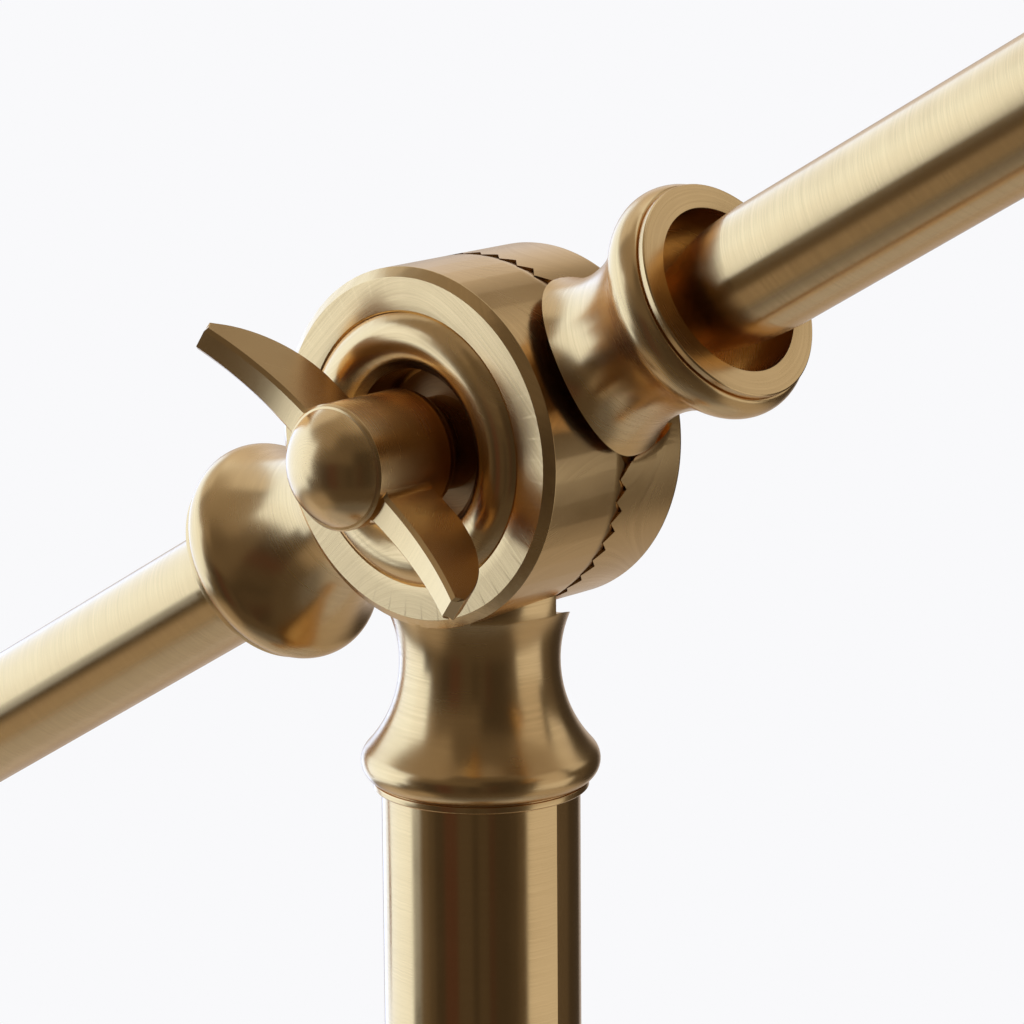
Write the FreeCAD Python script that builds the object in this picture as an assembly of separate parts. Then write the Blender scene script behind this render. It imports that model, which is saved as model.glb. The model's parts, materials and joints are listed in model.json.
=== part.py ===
"""Reading floor lamp in satin brass.

A weighted round base carries a two-piece pole. On the pole stands a serrated clutch: two toothed
discs, drawn together by a wing screw, hold a boom at steps of one tooth. The boom carries a
tilting head with a bell shade. Millimetres, +Z up, origin on the floor under the pole; the boom
swings in the XZ plane and the wing screw faces -Y.
"""
import FreeCAD, Part
import math
import os

Vector = FreeCAD.Vector
Rotation = FreeCAD.Rotation
Placement = FreeCAD.Placement
X_AXIS = Vector(1, 0, 0)
Y_AXIS = Vector(0, 1, 0)
Z_AXIS = Vector(0, 0, 1)
ORIGIN = Vector(0, 0, 0)

# Whole lamp
JOINT_HEIGHT = 1150.0       # wing screw's axis above the floor
BOOM_LENGTH = 400.0         # clutch axis to head axis
TAIL_LENGTH = 150.0         # clutch axis to the end of the tail tube
CLUTCH_BACK = 1.0           # tooth plane behind the pole's axis

# Clearances
SLIP_FIT = 0.05             # radial play of a part that turns or slides in another
SEAT_GAP = 0.1              # play beside a part that is only held or fastened
POST_POCKET_GAP = 1.25      # radial room between the rear disc and the post neck
SOCKET_POCKET_GAP = 1.05    # the same between the front disc and a boom socket

# Clutch teeth
TOOTH_COUNT = 48
BOOM_STEPS = 4              # teeth between a level boom and its rest position
TOOTH_DEPTH = 0.93          # at the disc's outer edge, sharp V to sharp V
TIP_HEIGHT = 0.32           # flat tips of the fixed half above the mid plane
TOOTH_PLAY = 0.05           # along the screw, between meshed flanks
EDGE_DRAW = 0.22            # the fixed half's side draws in beside its teeth
EDGE_DRAW_DEPTH = 1.1
BOOM_ANGLE = BOOM_STEPS * 360.0 / TOOTH_COUNT

# Clutch discs
DISC_R = 14.25
FACE_DEPTH = 8.8            # tooth plane to the front face
BACK_DEPTH = 7.1            # tooth plane to the back face
RIM_BEVEL_R = 0.75
RIM_BEVEL_DEPTH = 0.6
BACK_ROUND = 0.4
BOSS_R = 10.8               # raised bead ring on the front face
BOSS_GROOVE = 0.45          # depth of the line round the ring
BOSS_CREST = 1.05           # crest above the face
WELL_R = 6.3                # counterbore that takes the wing screw's end
WELL_LIP = 0.4
WELL_FLOOR = 4.1            # tooth plane to the well's floor
SPRING_WELL_R = 8.0
SPRING_WELL_DEPTH = 1.6     # in each half, from the tooth plane
BACK_WELL_R = 8.2
BACK_WELL_DEPTH = 2.7

# Post neck, distances from the clutch axis
POST_NECK = {"neck_r": 6.45, "neck_s": 18.3, "sweep": 10.5, "bead_r": 9.62, "bead_s": 26.5,
             "lip_r": 8.69, "lip_s": 28.0, "end_s": 28.7, "root_r": 7.6, "root_s": 11.0,
             "flare": 10.5}
# Boom sockets, distances from the clutch axis
BOOM_SOCKET = {"neck_r": 6.28, "neck_s": 17.5, "sweep": 10.5, "bead_r": 9.42, "bead_s": 25.9,
               "lip_r": 8.66, "lip_s": 27.45, "end_s": 28.17, "root_r": 7.5, "root_s": 10.5,
               "flare": 7.6}
SOCKET_POCKET_DEPTH = 0.95  # the pocket's floor behind the mid plane
BITE_R = 13.6               # the moving half's outer edge is cut as deep beside its sockets
BITE_TEETH = 4.5            # half of the bite's width, at the mid plane
# Necks of the head joint, distances from the head axis
HEAD_NECK = {"neck_r": 4.2, "neck_s": 12.5, "sweep": 6.0, "bead_r": 6.8, "bead_s": 18.0,
             "lip_r": 6.5, "lip_s": 19.1, "end_s": 20.2, "root_r": 4.2, "root_s": 5.5,
             "flare": 6.0}
LIP_BEVEL = 0.15

# Boom tubes
TUBE_R = 5.0
TUBE_WALL = 1.0
TUBE_END_S = 24.5           # narrowed end, inside the socket
SHOULDER_S = 32.5           # full diameter begins here
SHOULDER_ROUND = 25.0
SOCKET_BORE_R = 6.65
SOCKET_FLOOR = 22.5
NIPPLE_R = 2.6
NIPPLE_BORE_R = 1.8
NIPPLE_START = 16.5
NIPPLE_END = 33.0

# Wing screw, distances in front of the tooth plane
WING_ANGLE = 145.5          # of one wing, from +X towards +Z
HUB_R = 4.93
HUB_FRONT = 17.7
DOME_HEIGHT = 2.8
HUB_ROUND_START = 10.0
HUB_NECK_R = 3.7
HUB_NECK_START = 8.2
WING_REACH = 15.9
WING_THICK = 2.8            # at the hub
WING_TIP_THICK = 2.15
WING_ROOT_FRONT = 17.25
WING_TIP_FRONT = 18.95
WING_BACK = 11.7
WING_FACET = 0.5            # flat across each tip
WING_EDGE = 0.3             # bevel along the wings
STUD_R = 2.95
STUD_BACK = 4.0             # behind the tooth plane
WASHER_R = 5.9
WASHER_THICK = 0.8

# Clutch bush, which the wing screw pulls on
BUSH_R = 5.0
BUSH_FLAT = 4.2             # half width across its two flats
BUSH_FRONT = 3.4            # in front of the tooth plane
BUSH_FLANGE_R = 7.4
BUSH_FLANGE_THICK = 1.6
SPRING_ROOM = 0.4           # radial room of the disc spring in its well
SPRING_THICK = 0.5
CAP_CROWN = 0.9
CAP_THICK = 0.7

# Pole
POLE_R = 8.0
POLE_WALL = 1.2
POLE_JOIN_HEIGHT = 610.0
JOIN_RING_R = 8.7
JOIN_RING_HEIGHT = 5.0
INSERT_LENGTH = 22.0
STUD_M10_R = 4.9
STUD_M10_BORE_R = 3.4
NECK_STUD_TOP = 15.0        # below the clutch axis
NECK_STUD_LENGTH = 32.0

# Base
BASE_R = 125.0
PAD_INSET = 8.0             # the pad's edge inside the cover's rim
PAD_THICK = 2.0
COVER_THICK = 1.0
COVER_LIFT = 1.2            # lower edge of the cover above the floor
RIM_HEIGHT = 14.0
RIM_ROUND = 3.5
STEP_R = 108.0
STEP_RISE = 1.6
FIELD_R = 40.0              # where the gentle cone turns up towards the pole
FIELD_RISE = 5.5
SWEEP_R = 15.0
SWEEP_RISE = 12.0
WEIGHT_GAP = 1.0            # inside the cover's rim and under its top
WEIGHT_BEVEL = 3.0
WEIGHT_BOSS_R = 13.0
NUT_WELL_R = 14.0
NUT_WELL_DEPTH = 9.0
NUT_FLATS = 16.0
NUT_HEIGHT = 5.0
BASE_WASHER_R = 11.5
BASE_WASHER_THICK = 1.5
GLAND_R = 3.6
GLAND_BORE_R = 2.6
GLAND_FLANGE_R = 5.0
GLAND_FLANGE = 1.6
GLAND_LENGTH = 14.0
COLLAR_HEIGHT = 16.0
COLLAR_BASE_R = 13.5
COLLAR_NECK_R = 8.6
COLLAR_BEAD_R = 10.0
COLLAR_BEAD = 3.2

# Head joint
EYE_R = 9.0
EYE_THICK = 5.6
FRICTION_WASHER = 0.4
EYE_POCKET_GAP = 1.0
HEAD_SCREW_R = 2.0
SCREW_HEAD_R = 4.6
SCREW_HEAD_HEIGHT = 2.4
TIP_DEPTH = 8.0             # how far the tube enters the boom's tip

# Head, distances below the head axis
CUP_R = 17.0
CUP_WALL = 1.2
CUP_TOP_R = 7.6
CUP_SHOULDER = 31.5
CUP_BOTTOM = 66.0
CUP_BEAD = 1.3
CUP_BEAD_HEIGHT = 4.0
HEAD_NIPPLE_R = 3.0
HEAD_NIPPLE_TOP = 10.5
HEAD_NIPPLE_LENGTH = 16.0
HOLDER_R = 13.6
HOLDER_TOP = 45.0
HOLDER_BOTTOM = 84.0
HOLDER_BORE_R = 7.3
HOLDER_BORE_TOP = 56.0
SHADE_THICK = 0.9
CROWN_R = 41.0
CROWN_ANGLE = 60.0
SHADE_R = 69.0
SHADE_RIM = 7.0
SHADE_BEAD_R = 1.3
RING_R = 18.5
RING_HEIGHT = 3.2
BULB_CAP_R = 6.9
BULB_R = 22.5
BULB_NECK_R = 8.5
BULB_CENTRE = 118.0

# Switch on the cup's outer side
SWITCH_DROP = 38.0
SWITCH_HOLE_R = 4.0
SWITCH_BODY_R = 5.8
SWITCH_BODY_DEPTH = 11.0
SWITCH_COLLAR_R = 5.6
SWITCH_COLLAR = 1.8
KNOB_R = 6.0
KNOB_LENGTH = 8.5
KNOB_GAP = 0.4
SHAFT_R = 1.8

# Tail knob, measured outward from the end of the tail tube
KNOB_NECK_R = 4.4
TAIL_KNOB_R = 9.2
TAIL_COLLAR_R = 7.2
TAIL_COLLAR = 3.0
TAIL_NECK = 3.0
TAIL_SPIGOT = 14.0


def outline(points):
    """Closed face in the XZ plane. A point is (r, z); (mid r, mid z, r, z) ends an arc."""
    edges = []
    here = Vector(points[0][0], 0, points[0][1])
    for step in points[1:] + [points[0][-2:]]:
        there = Vector(step[-2], 0, step[-1])
        if there.distanceToPoint(here) < 1e-7:
            continue
        if len(step) == 4:
            edges.append(Part.Arc(here, Vector(step[0], 0, step[1]), there).toShape())
        else:
            edges.append(Part.LineSegment(here, there).toShape())
        here = there
    return Part.Face(Part.Wire(edges))


def turned(points):
    """Solid of revolution about Z."""
    return outline(points).revolve(ORIGIN, Z_AXIS, 360)


def aimed(shape, direction, at=ORIGIN):
    """Turn a shape's own Z axis to a direction and move it."""
    placed = shape.copy()
    placed.Placement = Placement(at, Rotation(Z_AXIS, direction)) * placed.Placement
    return placed


def moved(shape, x=0.0, y=0.0, z=0.0):
    placed = shape.copy()
    placed.translate(Vector(x, y, z))
    return placed


def rod(radius, start, end, direction, at=ORIGIN):
    """Cylinder along a direction, between two distances from a point."""
    length = end - start
    base = at + Vector(direction) * start
    return Part.makeCylinder(radius, length, base, direction)


def pipe(outer, inner, start, end, direction, at=ORIGIN):
    return rod(outer, start, end, direction, at).cut(rod(inner, start - 1, end + 1, direction, at))


def arc_through(centre_r, centre_z, radius, angle_start, angle_end):
    """Middle and end of an arc, as one outline step. Angles in degrees from +r to +z."""
    middle = math.radians((angle_start + angle_end) / 2)
    last = math.radians(angle_end)
    return (centre_r + radius * math.cos(middle), centre_z + radius * math.sin(middle),
            centre_r + radius * math.cos(last), centre_z + radius * math.sin(last))


def crown(radius, seat, height):
    """Arc step from a rim to the middle of a spherical crown."""
    ball = (radius * radius + height * height) / (2 * height)
    half = math.asin(radius / ball) / 2
    centre = seat + height - ball
    return (ball * math.sin(half), centre + ball * math.cos(half), 0, seat + height)


def neck(size):
    """Turned neck: a hollow sweep, a bead tangent to it, and a lip with a small bevel."""
    sweep = size["sweep"]
    centre_r = size["neck_r"] + sweep
    rise = size["bead_s"] - size["neck_s"]
    gap = centre_r - size["bead_r"]
    bead = (gap * gap + rise * rise - sweep * sweep) / (2 * (sweep - gap))
    bead_r = size["bead_r"] - bead
    slant = math.atan2(rise, centre_r - bead_r)
    touch_r = centre_r - sweep * math.cos(slant)
    touch_s = size["neck_s"] + sweep * math.sin(slant)
    middle = slant / 2
    points = [(0, size["root_s"]), (size["root_r"], size["root_s"])]
    if size["root_r"] > size["neck_r"]:
        flare = size["flare"]
        flare_r = size["neck_r"] + flare
        start = math.acos((flare_r - size["root_r"]) / flare)
        points.append((size["root_r"], size["neck_s"] - flare * math.sin(start)))
        points.append((flare_r - flare * math.cos(start / 2),
                       size["neck_s"] - flare * math.sin(start / 2),
                       size["neck_r"], size["neck_s"]))
    else:
        points.append((size["neck_r"], size["neck_s"]))
    points.append((centre_r - sweep * math.cos(middle), size["neck_s"] + sweep * math.sin(middle),
                   touch_r, touch_s))
    bead_end = math.sqrt(bead * bead - (size["lip_s"] - size["bead_s"]) ** 2)
    points.append((size["bead_r"], size["bead_s"], bead_r + bead_end, size["lip_s"]))
    points.append((size["lip_r"] - LIP_BEVEL, size["lip_s"]))
    points.append((size["lip_r"], size["lip_s"] + LIP_BEVEL))
    points.append((size["lip_r"], size["end_s"] - LIP_BEVEL))
    points.append((size["lip_r"] - LIP_BEVEL, size["end_s"]))
    points.append((0, size["end_s"]))
    return turned(points)


def toothed_block(side, play):
    """Half space with radial V teeth that shrink towards the axis. side is -1 or +1 along Y."""
    reach = 2 * DISC_R
    height = TOOTH_DEPTH / 2 * reach / DISC_R
    far = side * 4 * DISC_R
    apex = Vector(0, play, 0)
    rim = []
    for step in range(2 * TOOTH_COUNT):
        angle = math.pi * step / TOOTH_COUNT
        rise = -height if step % 2 == 0 else height
        rim.append(Vector(reach * math.cos(angle), rise + play, reach * math.sin(angle)))
    base = [Vector(point.x, far, point.z) for point in rim]
    faces = []
    for index, point in enumerate(rim):
        after = (index + 1) % len(rim)
        faces.append(Part.Face(Part.makePolygon([apex, point, rim[after], apex])))
        wall = [point, rim[after], base[after], base[index], point]
        faces.append(Part.Face(Part.makePolygon(wall)))
    faces.append(Part.Face(Part.makePolygon(base + [base[0]])))
    return Part.Solid(Part.Shell(faces))


def double_flat(radius, flat, start, end):
    """Round bar along +Y with two flats."""
    bar = rod(radius, start, end, Y_AXIS)
    slab = Part.makeBox(4 * radius, end - start, 2 * flat, Vector(-2 * radius, start, -flat))
    return bar.common(slab)


# Clutch, modelled with the tooth plane at the origin and the screw along Y

def fixed_knuckle():
    """Front disc with its post neck, teeth, bead ring and the well for the wing screw."""
    face = FACE_DEPTH
    edge = DISC_R - RIM_BEVEL_R
    groove = 0.15
    disc = turned([(0, -TIP_HEIGHT), (DISC_R - EDGE_DRAW, -TIP_HEIGHT),
                   (DISC_R - EDGE_DRAW / 4, (EDGE_DRAW_DEPTH - TIP_HEIGHT) / 2, DISC_R, EDGE_DRAW_DEPTH),
                   (DISC_R, face - RIM_BEVEL_DEPTH),
                   (edge, face), (BOSS_R + groove, face), (BOSS_R, face - BOSS_GROOVE),
                   ((BOSS_R + WELL_R + WELL_LIP) / 2, face + BOSS_CREST, WELL_R + WELL_LIP, face - 0.2),
                   (WELL_R, face - 0.2 - WELL_LIP), (WELL_R, WELL_FLOOR), (0, WELL_FLOOR)])
    disc = aimed(disc, -Y_AXIS).common(toothed_block(-1, 0.0))
    stem = moved(aimed(neck(POST_NECK), -Z_AXIS), y=-CLUTCH_BACK)
    pocket = rod(DISC_R + POST_POCKET_GAP, -TOOTH_DEPTH / 2, 3 * DISC_R, Y_AXIS)
    bore = rod(STUD_M10_R + SLIP_FIT, NECK_STUD_TOP - SEAT_GAP, POST_NECK["end_s"] + 1, -Z_AXIS,
               Vector(0, -CLUTCH_BACK, 0))
    knuckle = disc.fuse(stem.cut(pocket)).cut(bore)
    knuckle = knuckle.cut(double_flat(BUSH_R + SLIP_FIT, BUSH_FLAT + SLIP_FIT, -WELL_FLOOR - 1, 1))
    return knuckle.cut(rod(SPRING_WELL_R, -SPRING_WELL_DEPTH, TOOTH_DEPTH, Y_AXIS)).removeSplitter()


def socket_bite():
    """Cuts beside the two sockets, whose sides follow the flanks of the teeth they replace."""
    turn = math.radians(BITE_TEETH * 360.0 / TOOTH_COUNT)
    wide = DISC_R * math.sin(turn)
    low = -TOOTH_DEPTH
    slope = TOOTH_COUNT * TOOTH_DEPTH / math.pi / DISC_R
    lean = math.cos(turn) / slope
    near = wide + lean * (TOOTH_DEPTH / 2 + TOOTH_PLAY - low)
    deep = wide + lean * (TOOTH_DEPTH / 2 + TOOTH_PLAY - SOCKET_POCKET_DEPTH)
    side = [Vector(-2 * DISC_R, low, -near), Vector(-2 * DISC_R, low, near),
            Vector(-2 * DISC_R, SOCKET_POCKET_DEPTH, deep), Vector(-2 * DISC_R, SOCKET_POCKET_DEPTH, -deep)]
    wedge = Part.Face(Part.makePolygon(side + [side[0]])).extrude(X_AXIS * 4 * DISC_R)
    return wedge.cut(rod(BITE_R, 2 * low, DISC_R, Y_AXIS))


def moving_knuckle():
    """Rear disc with its two boom sockets, level with X before the boom is raised."""
    back = BACK_DEPTH
    disc = turned([(0, -TOOTH_DEPTH), (DISC_R, -TOOTH_DEPTH), (DISC_R, back - BACK_ROUND),
                   (DISC_R - BACK_ROUND * (1 - math.sqrt(0.5)), back - BACK_ROUND * (1 - math.sqrt(0.5)),
                    DISC_R - BACK_ROUND, back), (BACK_WELL_R, back),
                   (BACK_WELL_R, back - BACK_WELL_DEPTH), (0, back - BACK_WELL_DEPTH)])
    disc = aimed(disc, Y_AXIS).common(toothed_block(1, TOOTH_PLAY))
    pocket = rod(DISC_R + SOCKET_POCKET_GAP, -3 * DISC_R, SOCKET_POCKET_DEPTH, Y_AXIS)
    knuckle = disc.cut(socket_bite())
    for direction in (X_AXIS, -X_AXIS):
        knuckle = knuckle.fuse(aimed(neck(BOOM_SOCKET), direction).cut(pocket))
    for direction in (X_AXIS, -X_AXIS):
        mouth = BOOM_SOCKET["end_s"]
        knuckle = knuckle.cut(rod(SOCKET_BORE_R, SOCKET_FLOOR, mouth + 1, direction))
        knuckle = knuckle.cut(rod(NIPPLE_R + SLIP_FIT, NIPPLE_START - SEAT_GAP, mouth, direction))
    knuckle = knuckle.cut(rod(BUSH_R + SLIP_FIT, -1, back, Y_AXIS))
    return knuckle.cut(rod(SPRING_WELL_R, -TOOTH_DEPTH, SPRING_WELL_DEPTH, Y_AXIS)).removeSplitter()


def clutch_bush():
    """Flanged bush: two flats slide in the fixed half, and the moving half turns on it."""
    shoulder = BACK_DEPTH - BACK_WELL_DEPTH + SEAT_GAP
    key = double_flat(BUSH_R, BUSH_FLAT, -BUSH_FRONT, 0)
    body = rod(BUSH_R, 0, shoulder, Y_AXIS)
    flange = rod(BUSH_FLANGE_R, shoulder, shoulder + BUSH_FLANGE_THICK, Y_AXIS)
    bush = key.fuse(body).fuse(flange)
    return bush.cut(rod(STUD_R + SLIP_FIT, -BUSH_FRONT - 1, shoulder + BUSH_FLANGE_THICK + 1, Y_AXIS))


def back_cap():
    """Shallow cap that closes the back well."""
    seat = BACK_DEPTH - CAP_THICK
    radius = BACK_WELL_R - SLIP_FIT
    return aimed(turned([(0, seat), (radius, seat), (radius, BACK_DEPTH),
                         crown(radius, BACK_DEPTH, CAP_CROWN)]), Y_AXIS)


def release_spring():
    """Coned disc spring that opens the clutch when the wing screw is loosened."""
    half = SPRING_WELL_DEPTH - SEAT_GAP
    inner = BUSH_R + SPRING_ROOM
    outer = SPRING_WELL_R - SPRING_ROOM
    return aimed(turned([(inner, -half), (outer, half - SPRING_THICK), (outer, half),
                         (inner, SPRING_THICK - half)]), Y_AXIS)


def wing_blade():
    """One wing towards +X with its front towards +Z, thinner at the tip, its front edges bevelled."""
    root = HUB_R * 0.4
    front = WING_ROOT_FRONT
    shape = outline([(root, WING_BACK), (WING_REACH * 0.5, WING_BACK),
                     (WING_REACH * 0.86, WING_BACK + 2.6, WING_REACH, WING_TIP_FRONT - 0.9),
                     (WING_REACH - WING_FACET, WING_TIP_FRONT),
                     (WING_REACH * 0.66, front + 0.25, root, front)])
    thick = WING_THICK / 2
    thin = WING_TIP_THICK / 2
    plan = [Vector(root - 1, -thick, 0), Vector(WING_REACH, -thin, 0),
            Vector(WING_REACH, thin, 0), Vector(root - 1, thick, 0)]
    wedge = Part.Face(Part.makePolygon(plan + [plan[0]])).extrude(Z_AXIS * 2 * HUB_FRONT)
    blade = moved(shape.extrude(Y_AXIS * WING_THICK * 2), y=-WING_THICK).common(wedge)
    edges = []
    for edge in blade.Edges:
        box = edge.BoundBox
        if box.YMin * box.YMax > 0 and box.ZMin > front - 1 and box.XLength > WING_FACET * 2:
            edges.append(edge)
    return blade.makeChamfer(WING_EDGE, edges)


def wing_head():
    """Domed hub with two wings that sweep forward to their tips."""
    seat = WELL_FLOOR + WASHER_THICK
    fall = HUB_ROUND_START - HUB_NECK_START
    head = turned([(0, seat), (HUB_NECK_R, seat), (HUB_NECK_R, HUB_NECK_START),
                   (HUB_NECK_R + (HUB_R - HUB_NECK_R) * 0.72, HUB_NECK_START + fall * 0.3,
                    HUB_R, HUB_ROUND_START), (HUB_R, HUB_FRONT),
                   crown(HUB_R, HUB_FRONT, DOME_HEIGHT)])
    for turn in (0, 180):
        wing = wing_blade()
        wing.rotate(ORIGIN, Z_AXIS, turn)
        head = head.fuse(wing)
    head = aimed(head.removeSplitter(), -Y_AXIS)
    head = head.cut(rod(STUD_R, -HUB_FRONT + DOME_HEIGHT, 0, Y_AXIS))
    head.rotate(ORIGIN, -Y_AXIS, WING_ANGLE)
    return head


def clamp_stud():
    return rod(STUD_R, -HUB_FRONT + DOME_HEIGHT, STUD_BACK, Y_AXIS)


def thrust_washer():
    return pipe(WASHER_R, STUD_R + SEAT_GAP, -WELL_FLOOR - WASHER_THICK, -WELL_FLOOR, Y_AXIS)


# Boom, modelled along X and raised to its rest angle afterwards

def boom_tube(end):
    """Tube with a rounded shoulder that narrows into the socket, straight to its far end."""
    bore = TUBE_R - TUBE_WALL
    small = NIPPLE_R + SLIP_FIT
    centre = TUBE_R - SHOULDER_ROUND
    turn = math.degrees(math.asin((TUBE_END_S - SHOULDER_S) / SHOULDER_ROUND))
    step = arc_through(centre, SHOULDER_S, SHOULDER_ROUND, turn, 0)
    start = math.radians(turn)
    return turned([(small, TUBE_END_S), (centre + SHOULDER_ROUND * math.cos(start), TUBE_END_S), step,
                   (TUBE_R, end), (bore, end), (bore, NIPPLE_END), (small, NIPPLE_END - 1.5)])


def nipple():
    return turned([(NIPPLE_BORE_R, NIPPLE_START), (NIPPLE_R, NIPPLE_START),
                   (NIPPLE_R, NIPPLE_END), (NIPPLE_BORE_R, NIPPLE_END)])


def tail_knob():
    """Turned end knob: a collar against the tube, a short neck and a ball, on a spigot."""
    bore = TUBE_R - TUBE_WALL - SLIP_FIT
    neck_end = TAIL_COLLAR + TAIL_NECK
    centre = neck_end + math.sqrt(TAIL_KNOB_R ** 2 - KNOB_NECK_R ** 2)
    start = math.degrees(math.atan2(neck_end - centre, KNOB_NECK_R))
    edge = TAIL_COLLAR / 2
    knob = turned([(0, -TAIL_SPIGOT), (bore, -TAIL_SPIGOT), (bore, 0), (TUBE_R, 0),
                   (TAIL_COLLAR_R, edge, TUBE_R, TAIL_COLLAR),
                   (KNOB_NECK_R, TAIL_COLLAR), (KNOB_NECK_R, neck_end),
                   arc_through(0, centre, TAIL_KNOB_R, start, 90)])
    return moved(knob, z=TAIL_LENGTH)


def eye_disc(front, back):
    """Round eye of the head joint with softened rims."""
    round_off = 0.5
    disc = turned([(0, front), (EYE_R - round_off, front), (EYE_R, front + round_off),
                   (EYE_R, back - round_off), (EYE_R - round_off, back), (0, back)])
    return aimed(disc, Y_AXIS)


def screw_hole(start, end):
    return rod(HEAD_SCREW_R + SLIP_FIT, start, end, Y_AXIS)


def boom_tip():
    """Socket on the boom's end with the front eye of the head joint, about the head axis."""
    split = -FRICTION_WASHER / 2
    eye = eye_disc(split - EYE_THICK, split)
    pocket = rod(EYE_R + EYE_POCKET_GAP, split, 3 * EYE_R, Y_AXIS)
    stem = aimed(neck(HEAD_NECK), -X_AXIS).cut(pocket)
    mouth = HEAD_NECK["end_s"]
    bore = rod(TUBE_R + SLIP_FIT, mouth - TIP_DEPTH, mouth + 1, -X_AXIS)
    wide = neck(HEAD_NECK).cut(Part.makeCylinder(4 * EYE_R, mouth - TIP_DEPTH - 1))
    sleeve = rod(HEAD_NECK["bead_r"] - 0.4, mouth - TIP_DEPTH - 1.2, mouth - 1.0, -X_AXIS)
    tip = eye.fuse(stem).fuse(aimed(wide, -X_AXIS)).fuse(sleeve).cut(bore)
    return tip.cut(screw_hole(split - EYE_THICK - 1, 1)).removeSplitter()


def head_washer():
    half = FRICTION_WASHER / 2
    return pipe(EYE_R - 1.0, HEAD_SCREW_R + SLIP_FIT, -half, half, Y_AXIS)


def head_screw():
    """Pivot screw with a domed head in front."""
    seat = -FRICTION_WASHER / 2 - EYE_THICK
    end = -seat + SCREW_HEAD_HEIGHT * 0.7
    dome = turned([(0, -seat), (SCREW_HEAD_R, -seat), crown(SCREW_HEAD_R, -seat, SCREW_HEAD_HEIGHT)])
    return aimed(dome, -Y_AXIS).fuse(rod(HEAD_SCREW_R, seat - 0.5, end, Y_AXIS)).removeSplitter()


def head_nut():
    """Domed nut behind the joint."""
    seat = FRICTION_WASHER / 2 + EYE_THICK
    height = SCREW_HEAD_HEIGHT + 1.6
    wall = 2.0
    dome = turned([(0, seat), (SCREW_HEAD_R, seat), (SCREW_HEAD_R, seat + wall),
                   crown(SCREW_HEAD_R, seat + wall, height - wall)])
    return aimed(dome, Y_AXIS).cut(rod(HEAD_SCREW_R + SLIP_FIT, seat - 1,
                                       seat + SCREW_HEAD_HEIGHT * 0.7 + SEAT_GAP, Y_AXIS))


# Head, modelled about the head axis with the shade hanging down

def head_knuckle():
    """Rear eye of the head joint with the neck that carries the lampholder cup."""
    split = FRICTION_WASHER / 2
    eye = eye_disc(split, split + EYE_THICK)
    pocket = rod(EYE_R + EYE_POCKET_GAP, -3 * EYE_R, split, Y_AXIS)
    stem = aimed(neck(HEAD_NECK), -Z_AXIS).cut(pocket)
    knuckle = eye.fuse(stem).cut(screw_hole(-1, split + EYE_THICK + 1))
    bore = rod(HEAD_NIPPLE_R + SLIP_FIT, HEAD_NIPPLE_TOP - SEAT_GAP, HEAD_NECK["end_s"] + 1, -Z_AXIS)
    return knuckle.cut(bore).removeSplitter()


def head_nipple():
    end = HEAD_NIPPLE_TOP + HEAD_NIPPLE_LENGTH
    return pipe(HEAD_NIPPLE_R, NIPPLE_BORE_R, HEAD_NIPPLE_TOP, end, -Z_AXIS)


def cup_profile(inset):
    """Dome and side of the cup, set in by a wall."""
    top = HEAD_NECK["end_s"]
    drop = CUP_SHOULDER - top
    across = CUP_R - CUP_TOP_R
    ball = (across * across + drop * drop) / (2 * across)
    centre_r = CUP_R - ball
    start = -math.degrees(math.asin(min(1.0, (drop - inset * 0.6) / (ball - inset))))
    first_r = centre_r + (ball - inset) * math.cos(math.radians(start))
    first_s = CUP_SHOULDER + (ball - inset) * math.sin(math.radians(start))
    return [(0, first_s), (first_r, first_s),
            arc_through(centre_r, CUP_SHOULDER, ball - inset, start, 0)]


def lampholder_cup():
    """Domed brass cup over the lampholder, with a bead at its mouth and the switch's hole."""
    bead_top = CUP_BOTTOM - CUP_BEAD_HEIGHT
    outer = cup_profile(0.0) + [(CUP_R, bead_top),
                                (CUP_R + CUP_BEAD, bead_top + CUP_BEAD_HEIGHT / 2, CUP_R, CUP_BOTTOM),
                                (0, CUP_BOTTOM)]
    inner = cup_profile(CUP_WALL) + [(CUP_R - CUP_WALL, CUP_BOTTOM + 1), (0, CUP_BOTTOM + 1)]
    cup = turned(outer).cut(turned(inner))
    cup = cup.cut(Part.makeCylinder(HEAD_NIPPLE_R + SLIP_FIT, CUP_SHOULDER))
    cup = aimed(cup, -Z_AXIS)
    return cup.cut(rod(SWITCH_HOLE_R + SEAT_GAP, 0, 2 * CUP_R, X_AXIS, Vector(0, 0, -SWITCH_DROP)))


def lampholder():
    """Insulating holder: a body in the cup and a threaded skirt through the shade."""
    holder = turned([(0, HOLDER_TOP), (HOLDER_R - 1.5, HOLDER_TOP), (HOLDER_R, HOLDER_TOP + 1.5),
                     (HOLDER_R, HOLDER_BOTTOM), (HOLDER_BORE_R, HOLDER_BOTTOM),
                     (HOLDER_BORE_R, HOLDER_BORE_TOP), (0, HOLDER_BORE_TOP)])
    return aimed(holder, -Z_AXIS)


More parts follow.
